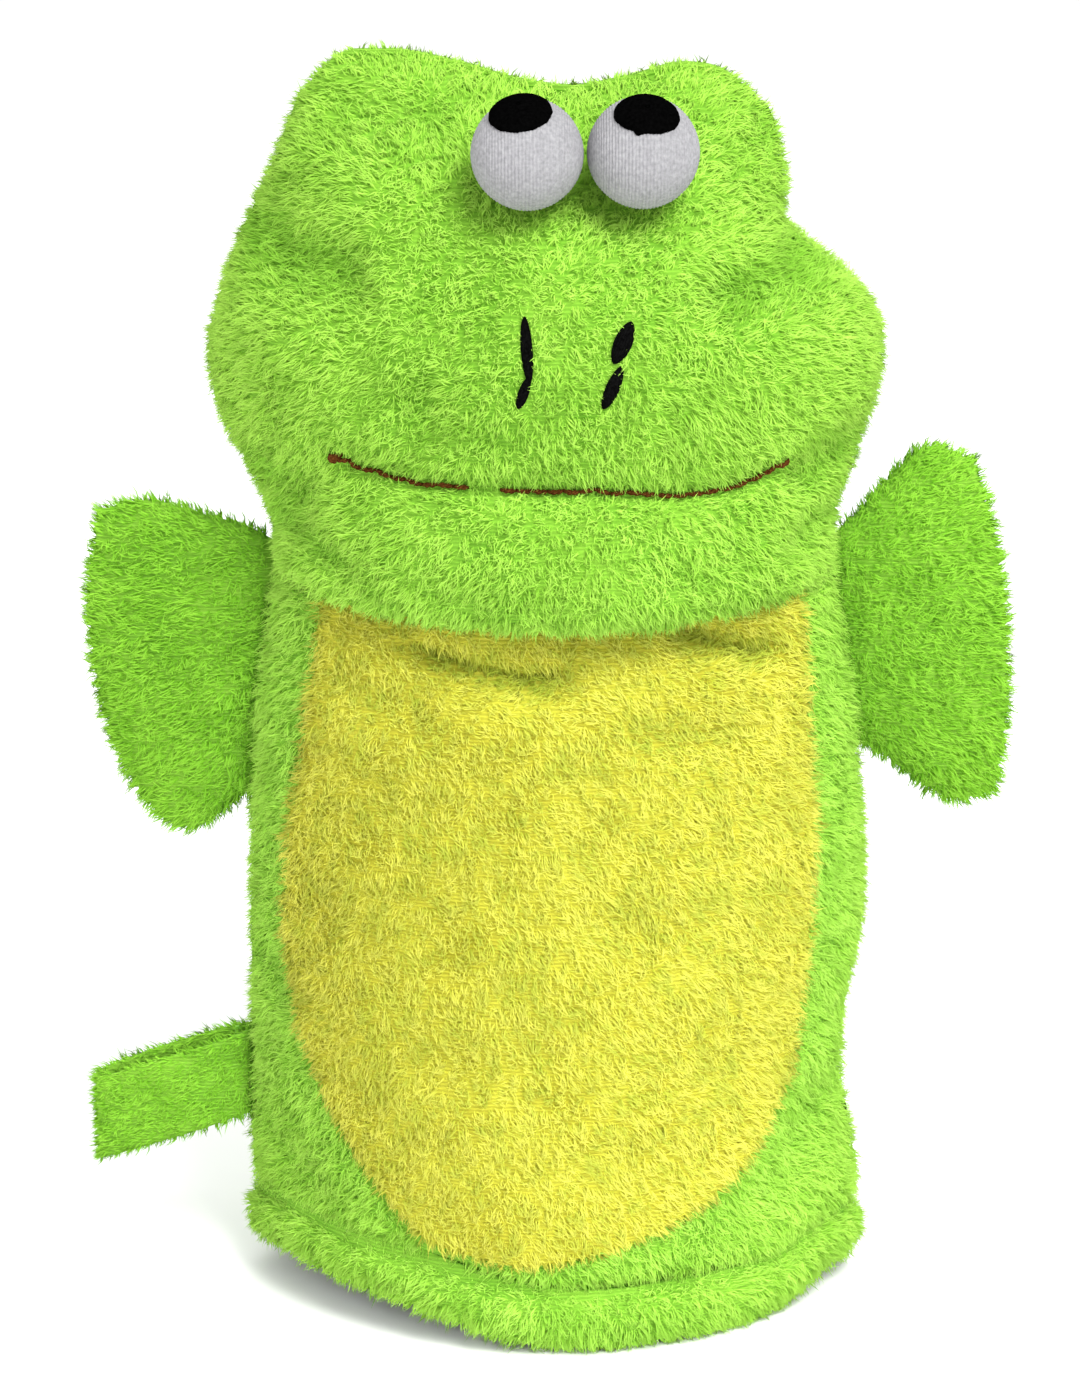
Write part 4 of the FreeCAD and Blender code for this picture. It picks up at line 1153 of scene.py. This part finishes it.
def build_flipper(side, body, outline):
    turn = -1 if side == "left" else 1
    flat, thick = flipper_sheet(outline)
    pad = closed_pad("flipper_skin_" + side, flat, thick)
    pad = puffed(pad, 1.2, PINNED_X)
    pad = paint(subdivided(pad), GREEN_GROUND)
    stands_for(pad, "green_plush", "flipper_front_" + side, "flipper_back_" + side)
    bodies = ("mitt", body, (turn * 0.0575, 0, 0.12), (turn * 0.0635, 0, 0.12))
    grow("flipper_pile_" + side, pad, ARM_PILE_SHADED, bodies,
         lambda place: combed(place, 0.8 * turn, 0.012 * (place[:, 2] - 126)),
         lambda place: lengths(len(place), 2.9), None, lambda place, normal: abs(place[:, 0]) > 54.0)
    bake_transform(pad)


def build_loop():
    """The doubled strap at the left seam, its two leaves and their fold one closed strip."""
    low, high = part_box("hanging_loop")
    low, high = np.array(low) / MM, np.array(high) / MM
    length = high[0] - low[0]
    half = (high[1] - low[1]) / 2 - 0.9
    drop = length * LOOP_SLOPE
    steps = np.linspace(0, 1, 25)
    d = (length + 2.6) * np.sin(steps * math.pi / 2) ** 0.9 - 3.8
    bulge = np.sin(math.pi * steps ** 0.8) ** 0.5 * (1 - 0.15 * steps)
    spread = half * bulge + 1.2 * (1 - steps)
    spread[-1] = 0
    outer = np.concatenate([np.stack([d, -spread], 1), np.stack([d, spread], 1)[-2::-1]])
    rows = 13
    across = np.linspace(0, 1, rows)[:, None]
    height = (high[2] - low[2]) - drop
    x = high[0] + 1.6 - outer[None, :, 0] - 0 * across
    z = low[2] + drop + 0.6 + (height - 1.2) * across - LOOP_SLOPE * outer[None, :, 0]
    y = outer[None, :, 1] + 0 * across
    grid = np.stack([x, y, z], -1)
    grid = grid + 0.35 * noise_vectors(grid, 11, 67)
    normals = grid_normals(grid)
    centre = grid.mean((0, 1))
    if ((grid - centre) * normals).sum() < 0:
        normals = -normals
    strap = paint(sheet("loop_strap", grid, normals, 1.0), GREEN_GROUND)
    stands_for(strap, "green_plush", "hanging_loop")
    bodies = ("mitt", "loop", (-0.0585, 0, 0.04), (-0.0640, 0, 0.04))
    grow("loop_pile", strap, ARM_PILE_SHADED, bodies, lambda place: combed(place, -0.8, -0.2),
         lambda place: lengths(len(place), 2.2) * np.where(np.abs(place[:, 1]) < 1.0, 0.6, 1.0))
    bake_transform(strap)


def build_hem():
    """The turned-up hem inside the opening, and its pile; its running stitches outside are made with the
    other stitches.
    """
    turns = np.linspace(0, 2 * math.pi, 241)[:-1][None, :]
    profile = np.linspace(0, 2 * math.pi, 33)[:-1][:, None]
    side_angle = np.where(turns < math.pi, turns, turns - math.pi)
    front = turns < math.pi
    height = HEM_HEIGHT / 2 * (1 - np.cos(profile)) + 0 * turns
    thick = 1.1 * np.sin(profile)
    gap = GROUND + 1.35
    rows = []
    for is_front, line in ((True, TORSO_FRONT), (False, TORSO_BACK)):
        angle = np.where(front, side_angle, math.pi - side_angle)
        base = torso_point(angle, 6.0 + 0 * height, line, is_front)
        left, right = seam_xs(np.array(6.0))
        middle = np.array([(left + right) / 2, 0, 0])
        inward = unit((middle - base) * np.array([1, 1, 0]))
        raised = hem_raise(angle, is_front)
        placed = base + inward * (gap - thick)[..., None]
        placed[..., 2] = 0.25 + height + raised
        rows.append(placed)
    grid = np.where(front[..., None], rows[0], rows[1])
    points = grid.reshape(-1, 3)
    count_rows, count_columns = grid.shape[:2]
    faces = grid_faces(count_rows + 1, count_columns, wrap=True) % (count_rows * count_columns)
    band = paint(mesh_object("hem_fold", points, [faces]), GREEN_GROUND)
    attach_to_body(band, "mitt")
    stands_for(band, "green_plush", "hem_band")
    grow("hem_pile", band, GREEN_PILE, ("mitt",), downward(0.0, -0.5),
         lambda place: lengths(len(place), 2.0), None, inside_of_hem)


def inside_of_hem(place, normal):
    """The hem shows only its inner side and its lower edge."""
    outside = (normal[:, :2] * place[:, :2]).sum(1) > 0
    return ~outside | (place[:, 2] < 3)


def build_stitches(front_surface):
    """The seams' stitches lie on the skin, so the pile covers them."""
    parts = []
    for edge, turn in ((BELLY_LEFT, -1), (BELLY_RIGHT, 1)):
        for z in np.linspace(21.5, 132.0, 30):
            ends = [lie(front_surface, float(smooth(edge, q)) + turn * 0.9, q, 0.1)[0] for q in (z, z + 2.4)]
            parts.append(tube(along(ends, np.linspace(0, 1, 5)), 0.28, 6))
    made = paint(joined("belly_thread", parts), GREEN_THREAD)
    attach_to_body(made, "mitt")
    stands_for(made, "green_thread", "belly_stitches")

    parts = []
    for line, front in ((TORSO_FRONT, True), (TORSO_BACK, False)):
        for k in range(28):
            angle = math.pi * (k + np.linspace(0.18, 0.82, 6)) / 28
            path = torso_point(angle, HEM_HEIGHT - 0.4 + 0 * angle, line, front)
            out = unit(path * [1, 1, 0])
            parts.append(tube(path + out * 0.15, 0.3, 6))
    made = paint(joined("hem_thread", parts), GREEN_THREAD)
    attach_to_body(made, "mitt")
    stands_for(made, "green_thread", "hem_stitches")


def keep_cad_pieces():
    """CAD pieces whose shape is already right get their materials."""
    looks = {"neck_seam_stitches": GREEN_THREAD,
             "side_seam_allowance_left": GREEN_GROUND, "side_seam_allowance_right": GREEN_GROUND,
             "crown_seam_allowance": GREEN_GROUND, "eye_core_left": FOAM, "eye_core_right": FOAM,
             "eye_thread_left": WHITE_THREAD, "eye_thread_right": WHITE_THREAD,
             "flipper_wadding_left": WADDING, "flipper_wadding_right": WADDING,
             "flipper_seam_thread_left": GREEN_THREAD, "flipper_seam_thread_right": GREEN_THREAD,
             "loop_seam_thread": GREEN_THREAD}
    for name, made in looks.items():
        paint(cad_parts[name], made)


# ---------------------------------------------------------------- floor, light and camera
def build_stage():
    floor = mesh_object("floor", [(-3000, -3000, 0), (3000, -3000, 0), (3000, 3000, 0), (-3000, 3000, 0)],
                        [np.array([[0, 1, 2, 3]])])
    floor.location.z = FLOOR * MM
    made, _, shader = material("floor_white", 0.9)
    shader.inputs["Base Color"].default_value = (0.93, 0.93, 0.93, 1)
    paint(floor, made)
    world = bpy.data.worlds.new("studio")
    bpy.context.scene.world = world
    world.use_nodes = True
    world.node_tree.nodes["Background"].inputs["Color"].default_value = (1, 1, 1, 1)
    world.node_tree.nodes["Background"].inputs["Strength"].default_value = 0.92
    lights = (("key", (0.45, -0.85, 1.15), 0.12, 0.6, 22, 180),
              ("fill", (-0.9, -0.5, 0.45), 0.12, 0.9, 3, 180),
              ("back", (0.1, 0.9, 1.0), 0.12, 0.8, 5, 180),
              ("low", (0.22, -0.6, 0.18), -0.03, 0.2, 0.10, 36))
    for name, place, aim, size, power, spread in lights:
        light = bpy.data.lights.new(name, "AREA")
        light.size = size
        light.energy = power
        light.spread = math.radians(spread)
        lamp = bpy.data.objects.new(name, light)
        bpy.context.scene.collection.objects.link(lamp)
        lamp.location = place
        lamp.rotation_euler = (Vector((0, 0, aim)) - Vector(place)).to_track_quat("-Z", "Y").to_euler()


def build_camera():
    camera = bpy.data.objects.new("camera", bpy.data.cameras.new("camera"))
    bpy.context.scene.collection.objects.link(camera)
    target = Vector((-0.0025, 0, 0.1159))
    rise = math.radians(17.0)
    back = Vector((0, -math.cos(rise), math.sin(rise)))
    camera.location = target + back * 0.95
    camera.rotation_mode = "QUATERNION"
    camera.rotation_quaternion = (-back).to_track_quat("-Z", "Y")
    camera.data.lens = 129.3
    camera.data.clip_end = 20
    bpy.context.scene.camera = camera
    bpy.context.scene.view_settings.view_transform = "Standard"


build_camera()
build_stage()
front_skin, face_skin, back_skin, belly_skin = build_skin()
build_eyes()
build_nostrils(Surface(face_skin))
build_mouth(Surface(face_skin))
build_stitches(Surface(front_skin))
grow_pile(front_skin, face_skin, back_skin, belly_skin)
for skin in (front_skin, face_skin, back_skin, belly_skin):
    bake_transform(skin)
build_flipper("left", "left_flipper", LEFT_FLIPPER)
build_flipper("right", "right_flipper", RIGHT_FLIPPER)
build_loop()
build_hem()
keep_cad_pieces()
